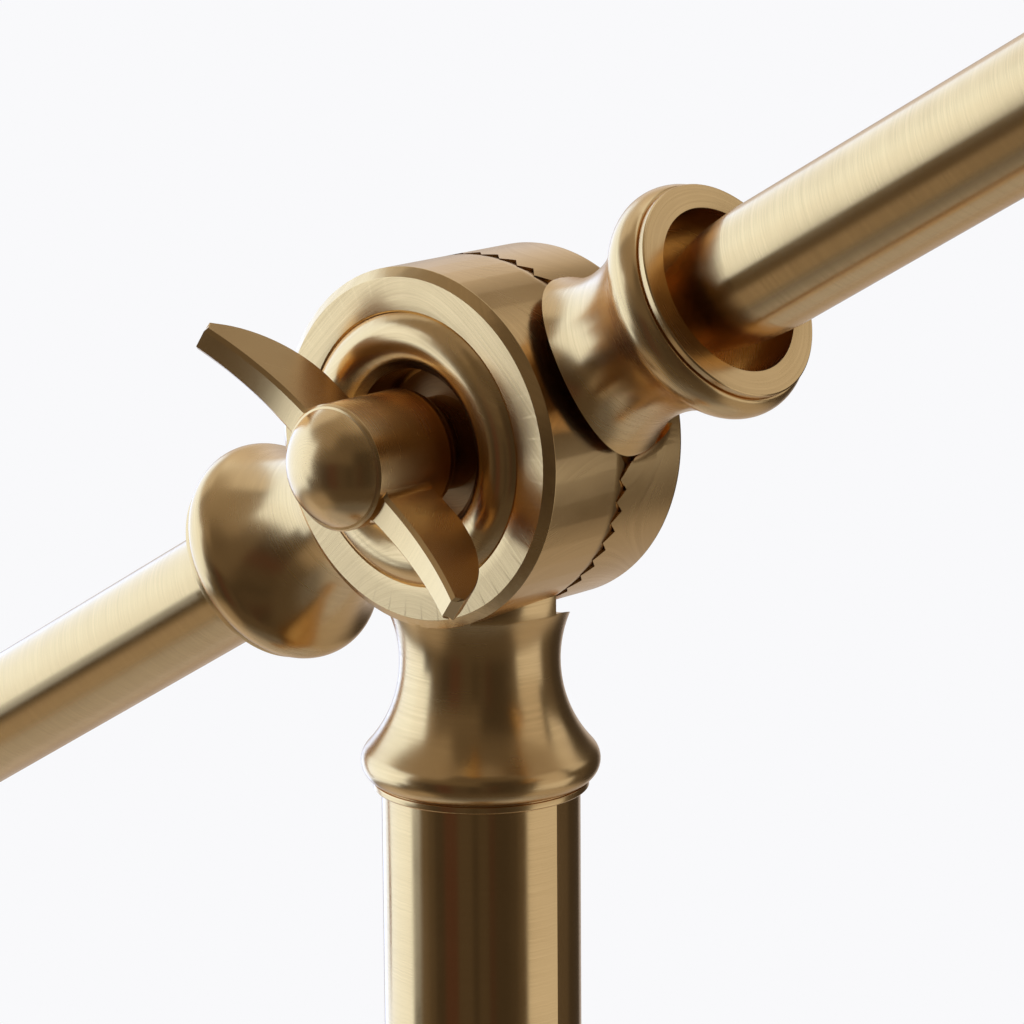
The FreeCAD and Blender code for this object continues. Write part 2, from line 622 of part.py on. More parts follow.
def shade():
    """Bell shade of thin brass: flat seat, round crown, cone and straight rim with a wired edge."""
    top = CUP_BOTTOM + SEAT_GAP
    seat_r = RING_R + 0.5
    hole = HOLDER_R + SEAT_GAP
    turn = math.radians(CROWN_ANGLE)
    centre = top + math.sqrt(CROWN_R ** 2 - seat_r ** 2)
    faces = []
    for inset in (0.0, SHADE_THICK):
        radius = CROWN_R - inset
        start = -math.asin((centre - top - inset) / radius)
        touch_r = radius * math.sin(turn)
        touch_s = centre - radius * math.cos(turn)
        rim_s = touch_s + (SHADE_R - inset - touch_r) * math.tan(turn)
        faces.append((radius, start, touch_r, touch_s, rim_s))
    end = faces[0][4] + SHADE_RIM
    radius, start, touch_r, touch_s, rim_s = faces[0]
    points = [(hole, top), (radius * math.cos(start), top),
              arc_through(0, centre, radius, math.degrees(start), CROWN_ANGLE - 90),
              (SHADE_R, rim_s), (SHADE_R, end), (SHADE_R - SHADE_THICK, end)]
    radius, start, touch_r, touch_s, rim_s = faces[1]
    points += [(SHADE_R - SHADE_THICK, rim_s), (touch_r, touch_s),
               arc_through(0, centre, radius, CROWN_ANGLE - 90, math.degrees(start)),
               (hole, top + SHADE_THICK)]
    bead = Part.makeTorus(SHADE_R - SHADE_THICK / 2, SHADE_BEAD_R, Vector(0, 0, end), Z_AXIS)
    return aimed(turned(points).fuse(bead).removeSplitter(), -Z_AXIS)


def shade_ring():
    """Nut on the holder's skirt that clamps the shade."""
    top = CUP_BOTTOM + SEAT_GAP + SHADE_THICK
    return pipe(RING_R, HOLDER_R + SLIP_FIT, top, top + RING_HEIGHT, -Z_AXIS)


def bulb_cap():
    top = HOLDER_BORE_TOP + 1.0
    return rod(BULB_CAP_R, top, HOLDER_BOTTOM + 2.0, -Z_AXIS)


def bulb_glass():
    """Globe lamp: a short neck that opens into the ball."""
    top = HOLDER_BOTTOM + 2.0
    lean = math.asin(BULB_NECK_R / BULB_R)
    first = BULB_CENTRE - BULB_R * math.cos(lean)
    ball = aimed(turned([(0, top), (BULB_NECK_R - 1.0, top), (BULB_NECK_R, first),
                         arc_through(0, BULB_CENTRE, BULB_R, -90 + math.degrees(lean), 90)]), -Z_AXIS)
    return ball


def switch_body():
    wall = CUP_R - CUP_WALL
    inner = wall - SEAT_GAP - SWITCH_BODY_DEPTH
    at = Vector(0, 0, -SWITCH_DROP)
    body = rod(SWITCH_BODY_R, inner, wall - 1.2, X_AXIS, at)
    stem = rod(SWITCH_HOLE_R, wall - 1.2, CUP_R + SWITCH_COLLAR, X_AXIS, at)
    return body.fuse(stem).cut(rod(SHAFT_R + SLIP_FIT, inner + 3, 2 * CUP_R, X_AXIS, at)).removeSplitter()


def switch_collar():
    at = Vector(0, 0, -SWITCH_DROP)
    return pipe(SWITCH_COLLAR_R, SWITCH_HOLE_R + SLIP_FIT, CUP_R, CUP_R + SWITCH_COLLAR, X_AXIS, at)


def switch_knob():
    """Turn knob with a crowned end, on its shaft."""
    start = CUP_R + SWITCH_COLLAR + KNOB_GAP
    end = start + KNOB_LENGTH
    bevel = 0.5
    knob = turned([(0, start), (KNOB_R - bevel, start), (KNOB_R, start + bevel),
                   (KNOB_R, end - 1.2), crown(KNOB_R, end - 1.2, 1.2)])
    shaft = Part.makeCylinder(SHAFT_R, 9.0, Vector(0, 0, start - 9.0))
    return aimed(knob.fuse(shaft).removeSplitter(), X_AXIS, Vector(0, 0, -SWITCH_DROP))


# Pole and base, modelled on the floor

def tube_bore():
    return POLE_R - POLE_WALL


def pole_top():
    return JOINT_HEIGHT - POST_NECK["end_s"]


def cover_top():
    return COVER_LIFT + RIM_HEIGHT + STEP_RISE + FIELD_RISE + SWEEP_RISE


def pole_foot():
    return cover_top() + COLLAR_HEIGHT


def upper_pole():
    return pipe(POLE_R, tube_bore(), POLE_JOIN_HEIGHT + JOIN_RING_HEIGHT, pole_top(), Z_AXIS)


def lower_pole():
    return pipe(POLE_R, tube_bore(), pole_foot(), POLE_JOIN_HEIGHT, Z_AXIS)


def pole_joiner():
    """Ring between the two tubes, with a spigot into each."""
    low = POLE_JOIN_HEIGHT
    high = low + JOIN_RING_HEIGHT
    middle = (low + high) / 2
    spigot = tube_bore() - SLIP_FIT
    bevel = 0.6
    return turned([(0, low - INSERT_LENGTH), (spigot, low - INSERT_LENGTH), (spigot, low),
                   (JOIN_RING_R - bevel, low), (JOIN_RING_R, middle, JOIN_RING_R - bevel, high),
                   (spigot, high), (spigot, high + INSERT_LENGTH), (0, high + INSERT_LENGTH)])


def threaded_insert(start, end):
    return pipe(tube_bore(), STUD_M10_R + SLIP_FIT, start, end, Z_AXIS)


def pole_top_insert():
    return threaded_insert(pole_top() - 1.0 - INSERT_LENGTH, pole_top() - 1.0)


def pole_foot_insert():
    return threaded_insert(pole_foot() + 1.0, pole_foot() + 1.0 + INSERT_LENGTH)


def neck_stud():
    top = JOINT_HEIGHT - NECK_STUD_TOP
    return pipe(STUD_M10_R, STUD_M10_BORE_R, top - NECK_STUD_LENGTH, top, Z_AXIS)


def base_pad():
    return Part.makeCylinder(BASE_R - PAD_INSET, PAD_THICK)


def arc_to_height(centre_r, centre_z, radius, angle_start, end_z):
    """Arc step on the left side of its centre that stops at a height below the centre."""
    angle_end = -180 + math.degrees(math.asin((centre_z - end_z) / radius))
    return arc_through(centre_r, centre_z, radius, angle_start, angle_end)


def cover_outline(inset):
    """Outer face of the base cover from its rim to the collar, set in by a wall."""
    rim = COVER_LIFT + RIM_HEIGHT
    step = rim + STEP_RISE
    field = step + FIELD_RISE
    low = COVER_LIFT - inset
    slope = math.atan2(FIELD_RISE, STEP_R - FIELD_R)
    chord = math.atan2(SWEEP_RISE, FIELD_R - SWEEP_R)
    sweep = math.hypot(SWEEP_RISE, FIELD_R - SWEEP_R) / (2 * math.sin(chord - slope))
    sweep_r = FIELD_R + sweep * math.sin(slope)
    sweep_z = field + sweep * math.cos(slope)
    foot_r = FIELD_R - inset * math.sin(slope)
    foot_z = field - inset * math.cos(slope)
    return [(0, low), (BASE_R - inset, low), (BASE_R - inset, rim - RIM_ROUND),
            arc_through(BASE_R - RIM_ROUND, rim - RIM_ROUND, RIM_ROUND - inset, 0, 90),
            (STEP_R + STEP_RISE, rim - inset),
            arc_to_height(STEP_R + STEP_RISE, step, STEP_RISE + inset, -90, step - inset),
            (foot_r, foot_z),
            arc_to_height(sweep_r, sweep_z, sweep + inset, -90 - math.degrees(slope),
                          cover_top() - inset),
            (0, cover_top() - inset)]


def base_cover():
    """Spun brass cover with a stepped edge and a sweep up to the collar."""
    cover = turned(cover_outline(0.0)).cut(turned(cover_outline(COVER_THICK)))
    cover = cover.cut(Part.makeCylinder(STUD_M10_R + SEAT_GAP, 2 * cover_top()))
    at = Vector(0, 0, gland_height())
    return cover.cut(rod(GLAND_R + SLIP_FIT, BASE_R - 8, BASE_R + 5, -X_AXIS, at))


def gland_height():
    return COVER_LIFT + (RIM_HEIGHT - RIM_ROUND) / 2


def base_weight():
    """Cast iron weight with a boss under the collar and a well for the nut."""
    radius = BASE_R - COVER_THICK - WEIGHT_GAP
    top = COVER_LIFT + RIM_HEIGHT - COVER_THICK - WEIGHT_GAP
    boss = cover_top() - COVER_THICK
    edge = WEIGHT_BEVEL
    weight = turned([(0, PAD_THICK), (radius - 1, PAD_THICK), (radius, PAD_THICK + 1),
                     (radius, top - edge), (radius - edge, top), (WEIGHT_BOSS_R + 3, top),
                     (WEIGHT_BOSS_R, top + 3), (WEIGHT_BOSS_R, boss), (0, boss)])
    weight = weight.cut(rod(NUT_WELL_R, PAD_THICK - 1, nut_seat(), Z_AXIS))
    weight = weight.cut(Part.makeCylinder(STUD_M10_R + SEAT_GAP, 2 * boss))
    at = Vector(0, 0, gland_height())
    return weight.cut(rod(GLAND_R + SLIP_FIT, NUT_WELL_R - 2, BASE_R, -X_AXIS, at))


def nut_seat():
    return PAD_THICK + NUT_WELL_DEPTH


def base_washer():
    seat = nut_seat()
    return pipe(BASE_WASHER_R, STUD_M10_R + SEAT_GAP, seat - BASE_WASHER_THICK, seat, Z_AXIS)


def base_nut():
    top = nut_seat() - BASE_WASHER_THICK
    corner = NUT_FLATS / math.sqrt(3)
    ring = []
    for step in range(7):
        angle = math.radians(60 * step)
        ring.append(Vector(corner * math.cos(angle), corner * math.sin(angle), top - NUT_HEIGHT))
    hexagon = Part.Face(Part.makePolygon(ring)).extrude(Z_AXIS * NUT_HEIGHT)
    return hexagon.cut(rod(STUD_M10_R + SLIP_FIT, 0, nut_seat(), Z_AXIS))


def base_rod():
    low = nut_seat() - BASE_WASHER_THICK - NUT_HEIGHT
    return pipe(STUD_M10_R, STUD_M10_BORE_R, low, pole_foot() + INSERT_LENGTH, Z_AXIS)


def cord_gland():
    """Grommet where a cord would leave the base."""
    at = Vector(0, 0, gland_height())
    wall = BASE_R
    sleeve = rod(GLAND_R, wall - GLAND_LENGTH, wall, -X_AXIS, at)
    flange = rod(GLAND_FLANGE_R, wall, wall + GLAND_FLANGE, -X_AXIS, at)
    gland = sleeve.fuse(flange).cut(rod(GLAND_BORE_R, wall - GLAND_LENGTH - 1, wall + 5, -X_AXIS, at))
    return gland.removeSplitter()


def foot_collar():
    """Turned collar where the pole meets the base."""
    low = cover_top()
    high = low + COLLAR_HEIGHT
    bead_low = high - COLLAR_BEAD - 1.0
    collar = turned([(0, low), (COLLAR_BASE_R, low), (COLLAR_BASE_R, low + 1.4),
                     (COLLAR_NECK_R + 1.1, low + 5.2, COLLAR_NECK_R, bead_low),
                     (COLLAR_BEAD_R, bead_low + COLLAR_BEAD / 2, COLLAR_NECK_R, bead_low + COLLAR_BEAD),
                     (COLLAR_NECK_R, high), (0, high)])
    return collar.cut(Part.makeCylinder(STUD_M10_R + SEAT_GAP, 2 * high))


# Assembly

def at_clutch(shape):
    return moved(shape, y=CLUTCH_BACK, z=JOINT_HEIGHT)


def raised(shape):
    """Boom part from its level position to its rest angle."""
    placed = shape.copy()
    placed.rotate(ORIGIN, Y_AXIS, -BOOM_ANGLE)
    return at_clutch(placed)


def at_head(shape):
    """Head part on the end of the raised boom, hanging straight down."""
    angle = math.radians(BOOM_ANGLE)
    return at_clutch(moved(shape, x=BOOM_LENGTH * math.cos(angle), z=BOOM_LENGTH * math.sin(angle)))


def build():
    tube_end = BOOM_LENGTH - HEAD_NECK["end_s"] + TIP_DEPTH - SEAT_GAP
    tip = moved(boom_tip(), x=BOOM_LENGTH)
    return {
        "base_pad": base_pad(),
        "base_weight": base_weight(),
        "base_cover": base_cover(),
        "base_washer": base_washer(),
        "base_nut": base_nut(),
        "base_rod": base_rod(),
        "cord_gland": cord_gland(),
        "foot_collar": foot_collar(),
        "pole_foot_insert": pole_foot_insert(),
        "lower_pole": lower_pole(),
        "pole_joiner": pole_joiner(),
        "upper_pole": upper_pole(),
        "pole_top_insert": pole_top_insert(),
        "neck_stud": neck_stud(),
        "fixed_knuckle": at_clutch(fixed_knuckle()),
        "thrust_washer": at_clutch(thrust_washer()),
        "release_spring": at_clutch(release_spring()),
        "wing_head": at_clutch(wing_head()),
        "clamp_stud": at_clutch(clamp_stud()),
        "clutch_bush": at_clutch(clutch_bush()),
        "moving_knuckle": raised(moving_knuckle()),
        "back_cap": raised(back_cap()),
        "front_nipple": raised(aimed(nipple(), X_AXIS)),
        "front_tube": raised(aimed(boom_tube(tube_end), X_AXIS)),
        "tail_nipple": raised(aimed(nipple(), -X_AXIS)),
        "tail_tube": raised(aimed(boom_tube(TAIL_LENGTH), -X_AXIS)),
        "tail_knob": raised(aimed(tail_knob(), -X_AXIS)),
        "boom_tip": raised(tip),
        "head_washer": at_head(head_washer()),
        "head_screw": at_head(head_screw()),
        "head_nut": at_head(head_nut()),
        "head_knuckle": at_head(head_knuckle()),
        "head_nipple": at_head(head_nipple()),
        "lampholder_cup": at_head(lampholder_cup()),
        "lampholder": at_head(lampholder()),
        "shade": at_head(shade()),
        "shade_ring": at_head(shade_ring()),
        "bulb_cap": at_head(bulb_cap()),
        "bulb_glass": at_head(bulb_glass()),
        "switch_body": at_head(switch_body()),
        "switch_collar": at_head(switch_collar()),
        "switch_knob": at_head(switch_knob()),
    }


def main():
    os.makedirs("parts", exist_ok=True)
    for name, shape in build().items():
        solids = shape.Solids
        print(name, "solids", len(solids), "volume", round(shape.Volume, 1), "valid", shape.isValid())
        shape.exportStep("parts/" + name + ".step")


main()
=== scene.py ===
"""Reading floor lamp in satin brass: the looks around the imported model, laid out as an add-on."""
import json
import math

import bmesh
import bpy
import numpy as np
from bpy.props import FloatProperty, FloatVectorProperty, IntProperty, PointerProperty
from bpy.types import Operator, Panel, PropertyGroup
from mathutils import Matrix, Vector


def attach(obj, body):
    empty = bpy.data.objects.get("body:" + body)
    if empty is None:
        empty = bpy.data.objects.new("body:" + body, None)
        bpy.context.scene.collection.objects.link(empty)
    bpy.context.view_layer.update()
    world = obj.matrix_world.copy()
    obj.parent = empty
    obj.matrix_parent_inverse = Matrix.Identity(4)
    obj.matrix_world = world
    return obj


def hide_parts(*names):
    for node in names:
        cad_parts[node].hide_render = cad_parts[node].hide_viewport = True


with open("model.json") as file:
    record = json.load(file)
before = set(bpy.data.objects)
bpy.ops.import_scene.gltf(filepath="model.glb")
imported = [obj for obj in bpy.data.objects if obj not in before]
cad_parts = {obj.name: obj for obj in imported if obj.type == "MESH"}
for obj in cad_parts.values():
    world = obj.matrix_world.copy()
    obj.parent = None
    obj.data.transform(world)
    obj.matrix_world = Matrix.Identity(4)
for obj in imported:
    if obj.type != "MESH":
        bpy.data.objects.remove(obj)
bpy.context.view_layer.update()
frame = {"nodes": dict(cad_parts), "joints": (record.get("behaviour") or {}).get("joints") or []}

bl_info = {
    "name": "Reading floor lamp",
    "version": (1, 0, 0),
    "blender": (4, 5, 0),
    "location": "View3D > Sidebar > Lamp",
    "description": "Builds the visible pieces of a brass reading lamp around its packed model",
    "category": "Object",
}

MM = 0.001
JOINTS = {joint["name"]: joint for joint in frame["joints"]}
CLUTCH = Vector(JOINTS["boom_tilt"]["pos_m"]) / MM
HEAD = Vector(JOINTS["head_tilt"]["pos_m"]) / MM
BOOM_ANGLE = math.atan2(HEAD.z - CLUTCH.z, HEAD.x - CLUTCH.x)
X_AXIS = Vector((1, 0, 0))
Y_AXIS = Vector((0, 1, 0))
Z_AXIS = Vector((0, 0, 1))
BOOM_AXIS = Vector((math.cos(BOOM_ANGLE), 0, math.sin(BOOM_ANGLE)))
POLE_FOOT = Vector((0, 0, 0))
# Painted shade: the floor's colour, as the metal reflects it, is darker towards this side
FLOOR_SHADE_SIDE = (0.643, -0.766, 0)   # the floor that metal mirrors is dimmer on this side

# Local frames: x, y and z of a turned profile, as directions of the lamp
FRONT_FRAME = Matrix((X_AXIS, Z_AXIS, -Y_AXIS)).transposed()
BACK_FRAME = Matrix((X_AXIS, Z_AXIS, Y_AXIS)).transposed()
DOWN_FRAME = Matrix((X_AXIS, -Y_AXIS, -Z_AXIS)).transposed()

# Clutch, mm from the tooth plane along the screw
FACE = 8.8
BACK = 7.1
TIP_HEIGHT = 0.32
TOOTH_PLAY = 0.05
EDGE_DRAW = 0.22
EDGE_DRAW_DEPTH = 1.1
POST_POCKET_R = 15.5
SOCKET_POCKET_R = 15.3
SOCKET_POCKET = 0.95
BITE_R = 13.6
BITE_TEETH = 4.5
POST_OFFSET = 1.0
SPRING_WELL_R = 8.0
SPRING_WELL = 1.6
BUSH_HOLE_R = 5.05
WELL_R = 6.3
WELL_FLOOR = 4.1
BACK_WELL_R = 8.2
BACK_WELL = 2.7
POST_NECK = {"neck_r": 6.45, "neck_s": 18.3, "sweep": 10.5, "bead_r": 9.62, "bead_s": 26.5,
             "lip_r": 8.69, "lip_s": 28.0, "end_s": 28.7, "root_r": 7.6, "root_s": 11.0,
             "flare": 10.5}
BOOM_SOCKET = {"neck_r": 6.28, "neck_s": 17.5, "sweep": 10.5, "bead_r": 9.42, "bead_s": 25.9,
               "lip_r": 8.66, "lip_s": 27.45, "end_s": 28.17, "root_r": 7.5, "root_s": 10.5,
               "flare": 7.6}
STUD_BORE = (4.95, 14.9)        # radius, and its floor's distance from the screw's axis
SOCKET_BORE = (6.65, 22.5)
NIPPLE_BORE = (2.65, 16.4)
BLEND_TURNS = (25, 40, 62, 85, 100)         # degrees round a socket's root, and the ball's radius there
BLEND_RADII = (0.06, 1.0, 2.1, 0.8, 0.35)

# Wing screw, mm from the tooth plane along the screw
HUB_START = 4.9
HUB_FOOT = (3.7, 8.2)           # radius of the hub's foot, and where it begins to widen
HUB_FULL = 10.0
DOME_START = 17.74
DOME_R = 4.59
DOME_TOP = 20.5
WING_BACK = 11.7
WING_FRONT = 17.25
WING_TIP_RISE = 1.7


def linear(code):
    """sRGB hex to linear RGB."""
    parts = [int(code[i:i + 2], 16) / 255 for i in (1, 3, 5)]
    return tuple(c / 12.92 if c <= 0.04045 else ((c + 0.055) / 1.055) ** 2.4 for c in parts)


def add_node(tree, kind, inputs=None, **settings):
    """Add a node with its settings; inputs holds values or the sockets to link from."""
    made = tree.nodes.new(kind)
    for key, value in settings.items():
        setattr(made, key, value)
    for key, value in (inputs or {}).items():
        if isinstance(value, bpy.types.NodeSocket):
            tree.links.new(value, made.inputs[key])
        else:
            made.inputs[key].default_value = value
    return made


def span(value, low, high, start=0.0, end=1.0):
    """Inputs of a node that maps low..high to start..end."""
    return {"Value": value, "From Min": low, "From Max": high, "To Min": start, "To Max": end}


# Profiles and meshes

def arc_points(a, middle, b, count):
    """Points after a on the circle through a, middle and b, up to b."""
    (ax, ay), (mx, my), (bx, by) = a, middle, b
    d = 2 * (ax * (my - by) + mx * (by - ay) + bx * (ay - my))
    aa, mm, bb = ax * ax + ay * ay, mx * mx + my * my, bx * bx + by * by
    cx = (aa * (my - by) + mm * (by - ay) + bb * (ay - my)) / d
    cy = (aa * (bx - mx) + mm * (ax - bx) + bb * (mx - ax)) / d
    radius = math.hypot(ax - cx, ay - cy)
    start = math.atan2(ay - cy, ax - cx)
    sweep = (math.atan2(by - cy, bx - cx) - start) % math.tau
    if (math.atan2(my - cy, mx - cx) - start) % math.tau > sweep:
        sweep -= math.tau
    angles = [start + sweep * i / count for i in range(1, count + 1)]
    return [(cx + radius * math.cos(t), cy + radius * math.sin(t)) for t in angles]


def trace(steps, count=16):
    """Profile points (r, s, finish). A step is a finish number for what follows, a corner (r, s),
    a softened corner (r, s, radius), or the middle and end of an arc (r, s, r, s)."""
    raw = []
    finish = 0
    for step in steps:
        if isinstance(step, int):
            finish = step
        elif len(step) == 4:
            for r, s in arc_points(raw[-1][:2], step[:2], step[2:], count):
                raw.append((r, s, 0.0, finish))
        else:
            raw.append((step[0], step[1], step[2] if len(step) == 3 else 0.0, finish))
    made = []
    for i, (r, s, soft, finish) in enumerate(raw):
        if not soft:
            made.append((r, s, finish))
            continue
        here = Vector((r, s))
        back = Vector(raw[i - 1][:2]) - here
        ahead = Vector(raw[(i + 1) % len(raw)][:2]) - here
        half = back.angle(ahead) / 2
        cut = min(soft / math.tan(half), 0.45 * back.length, 0.45 * ahead.length)
        start, end = here + back.normalized() * cut, here + ahead.normalized() * cut
        reach = cut * math.tan(half) * (1 / math.sin(half) - 1)
        middle = here + (back.normalized() + ahead.normalized()).normalized() * reach
        made.append((*start, finish))
        after = raw[(i + 1) % len(raw)][3]
        made += [(*p, after) for p in arc_points(start, middle, end, 4)]
    return made


def even_columns(count):
    return np.linspace(0, math.tau, count, endpoint=False)


def mesh_from_rows(name, rows, frame_matrix, at):
    """Mesh from rings (r, s, angles, finish). Ends on the axis close to a point, others join up."""
    verts, faces, finishes, rings = [], [], [], []
    for r, s, angles, finish in rows:
        first = len(verts)
        if np.isscalar(r) and r < 1e-6:
            verts.append((0.0, 0.0, float(s)))
            rings.append(([first], finish))
            continue
        r, s = np.broadcast_to(r, angles.shape), np.broadcast_to(s, angles.shape)
        verts += list(zip(r * np.cos(angles), r * np.sin(angles), s))
        rings.append((list(range(first, first + len(angles))), finish))
    pairs = list(zip(rings, rings[1:]))
    if len(rings[0][0]) > 1 and len(rings[-1][0]) > 1:
        pairs.append((rings[-1], rings[0]))
    for (low, _), (high, finish) in pairs:
        count = max(len(low), len(high))
        for i in range(count):
            j = (i + 1) % count
            if len(low) == 1:
                faces.append((low[0], high[j], high[i]))
            elif len(high) == 1:
                faces.append((low[i], low[j], high[0]))
            else:
                faces.append((low[i], low[j], high[j], high[i]))
            finishes.append(finish)
    return solid(name, verts, faces, frame_matrix, at, finishes)


def solid(name, verts, faces, frame_matrix, at, finishes=None):
    """Mesh of points in mm in a local frame, with all its faces turned outward."""
    points = (np.array(verts) @ np.array(frame_matrix).T + np.array(at)) * MM
    mesh = bpy.data.meshes.new(name)
    mesh.from_pydata(points.tolist(), [], faces)
    if finishes:
        mesh.polygons.foreach_set("material_index", finishes)
    work = bmesh.new()
    work.from_mesh(mesh)
    bmesh.ops.recalc_face_normals(work, faces=work.faces)
    if work.calc_volume(signed=True) < 0:
        bmesh.ops.reverse_faces(work, faces=work.faces)
    work.to_mesh(mesh)
    work.free()
    return mesh


def turned(name, steps, frame_matrix, at, columns=None, count=16):
    """Closed solid turned about its frame's z axis."""
    angles = even_columns(192) if columns is None else columns
    rows = [(r, s, angles, finish) for r, s, finish in trace(steps, count)]
    return mesh_from_rows(name, rows, frame_matrix, at)


def combine(mesh, others, operation):
    """Exact boolean of one mesh with others, keeping each face's finish number."""
    base = bpy.data.objects.new("work", mesh)
    bpy.context.scene.collection.objects.link(base)
    spare = []
    for other in others:
        tool = bpy.data.objects.new("tool", other)
        bpy.context.scene.collection.objects.link(tool)
        change = base.modifiers.new("change", "BOOLEAN")
        change.operation = operation
        change.solver = "EXACT"
        change.object = tool
        spare.append(tool)
    bpy.context.view_layer.update()
    made = bpy.data.meshes.new_from_object(base.evaluated_get(bpy.context.evaluated_depsgraph_get()))
    for extra in [base] + spare:
        bpy.data.objects.remove(extra)
    work = bmesh.new()
    work.from_mesh(made)
    bmesh.ops.remove_doubles(work, verts=work.verts, dist=2e-7)
    bmesh.ops.dissolve_degenerate(work, dist=2e-7, edges=work.edges)
    work.to_mesh(made)
    work.free()
    return made


def place_piece(name, mesh, body, finishes, replaced, sharp=32.0):
    """Link a finished mesh as a piece that rides on a body and stands for CAD nodes."""
    mesh.name = name
    mesh.materials.clear()
    for finish in finishes:
        mesh.materials.append(material(finish))
    mesh.shade_smooth()
    mesh.set_sharp_from_angle(angle=math.radians(sharp))
    piece = bpy.data.objects.new(name, mesh)
    bpy.context.scene.collection.objects.link(piece)
    weigh = piece.modifiers.new("even shading", "WEIGHTED_NORMAL")
    weigh.keep_sharp = True
    weigh.weight = 100
    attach(piece, body)
    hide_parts(*replaced)
    return piece


def neck_steps(size, finish, lip_finish, end_finish):
    """Turned neck: a hollow sweep, a bead tangent to it, a fine groove and a lip."""
    sweep = size["sweep"]
    centre_r = size["neck_r"] + sweep
    rise = size["bead_s"] - size["neck_s"]
    gap = centre_r - size["bead_r"]
    bead = (gap * gap + rise * rise - sweep * sweep) / (2 * (sweep - gap))
    bead_r = size["bead_r"] - bead
    slant = math.atan2(rise, centre_r - bead_r)
    touch_r = centre_r - sweep * math.cos(slant)
    touch_s = size["neck_s"] + sweep * math.sin(slant)
    middle = slant / 2
    flare = size["flare"]
    flare_r = size["neck_r"] + flare
    start = math.acos((flare_r - size["root_r"]) / flare)
    steps = [(0, size["root_s"]), finish, (size["root_r"], size["root_s"]),
             (size["root_r"], size["neck_s"] - flare * math.sin(start)),
             (flare_r - flare * math.cos(start / 2), size["neck_s"] - flare * math.sin(start / 2),
              size["neck_r"], size["neck_s"])]
    steps.append((centre_r - sweep * math.cos(middle), size["neck_s"] + sweep * math.sin(middle),
                  touch_r, touch_s))
    bead_end = bead_r + math.sqrt(bead * bead - (size["lip_s"] - size["bead_s"]) ** 2)
    steps.append((size["bead_r"], size["bead_s"], bead_end, size["lip_s"]))
    steps += [(bead_end - 0.06, size["lip_s"] + 0.02), (size["lip_r"] - 0.14, size["lip_s"] + 0.02),
              (size["lip_r"] - 0.14, size["lip_s"] + 0.12), lip_finish,
              (size["lip_r"], size["lip_s"] + 0.16, 0.05), (size["lip_r"], size["end_s"] - 0.1, 0.05),
              (size["lip_r"] - 0.1, size["end_s"], 0.04), end_finish]
    return steps


def tooth_rows(radii, count, depth, disc_r, fixed):
    """Rings of the toothed face. The fixed half's tips are cut flat, the other's are sharp."""
    pitch = math.tau / count
    centres = np.arange(count) * pitch
    rows = []
    for radius in radii:
        rise = depth / 2 * radius / disc_r
        if fixed:
            share = (TIP_HEIGHT + rise) / (2 * rise)
            offsets = [0, share * pitch / 2, pitch / 2, pitch - share * pitch / 2]
            heights = [rise, -TIP_HEIGHT, -TIP_HEIGHT, -TIP_HEIGHT]
        else:
            offsets = [0, pitch / 4, pitch / 2, pitch * 3 / 4]
            heights = [TOOTH_PLAY - rise, TOOTH_PLAY, TOOTH_PLAY + rise, TOOTH_PLAY]
        angles = (centres[:, None] + np.array(offsets)[None]).ravel()
        rows.append((np.full(angles.shape, radius), np.tile(heights, count), angles))
    if fixed:
        rim, heights, angles = rows[-1]
        rows[-1] = (drawn_edge(rim, heights), heights, angles)
    return rows


def drawn_edge(radius, s):
    """Radius of the fixed half's side, which draws in beside its teeth."""
    return radius - EDGE_DRAW * (np.maximum(0, EDGE_DRAW_DEPTH - s) / (EDGE_DRAW_DEPTH + TIP_HEIGHT)) ** 2


def toothed_disc(name, steps, inner_steps, size, fixed, frame_matrix, at):
    """Disc with radial teeth towards s = 0: steps run from the rim over the face to the bush hole,
    inner_steps from the hole to the spring well."""
    radii = np.linspace(SPRING_WELL_R, size["disc_r"], 5)
    teeth = tooth_rows(radii, size["teeth"], size["depth"], size["disc_r"], fixed)
    outer, inner = teeth[-1][2], teeth[0][2]
    rows = [(*teeth[-1], 0)]
    rows += [(r, s, outer, finish) for r, s, finish in trace(steps)]
    rows += [(r, s, inner, finish) for r, s, finish in trace(inner_steps)]
    rows += [(*row, 0) for row in teeth[:-1]]
    return mesh_from_rows(name, rows, frame_matrix, at)


# Finishes

MATERIALS = {}


def material(name):
    return MATERIALS[name]


def new_material(name):
    made = bpy.data.materials.new(name)
    made.use_nodes = True
    made.node_tree.nodes.clear()
    MATERIALS[name] = made
    return made.node_tree


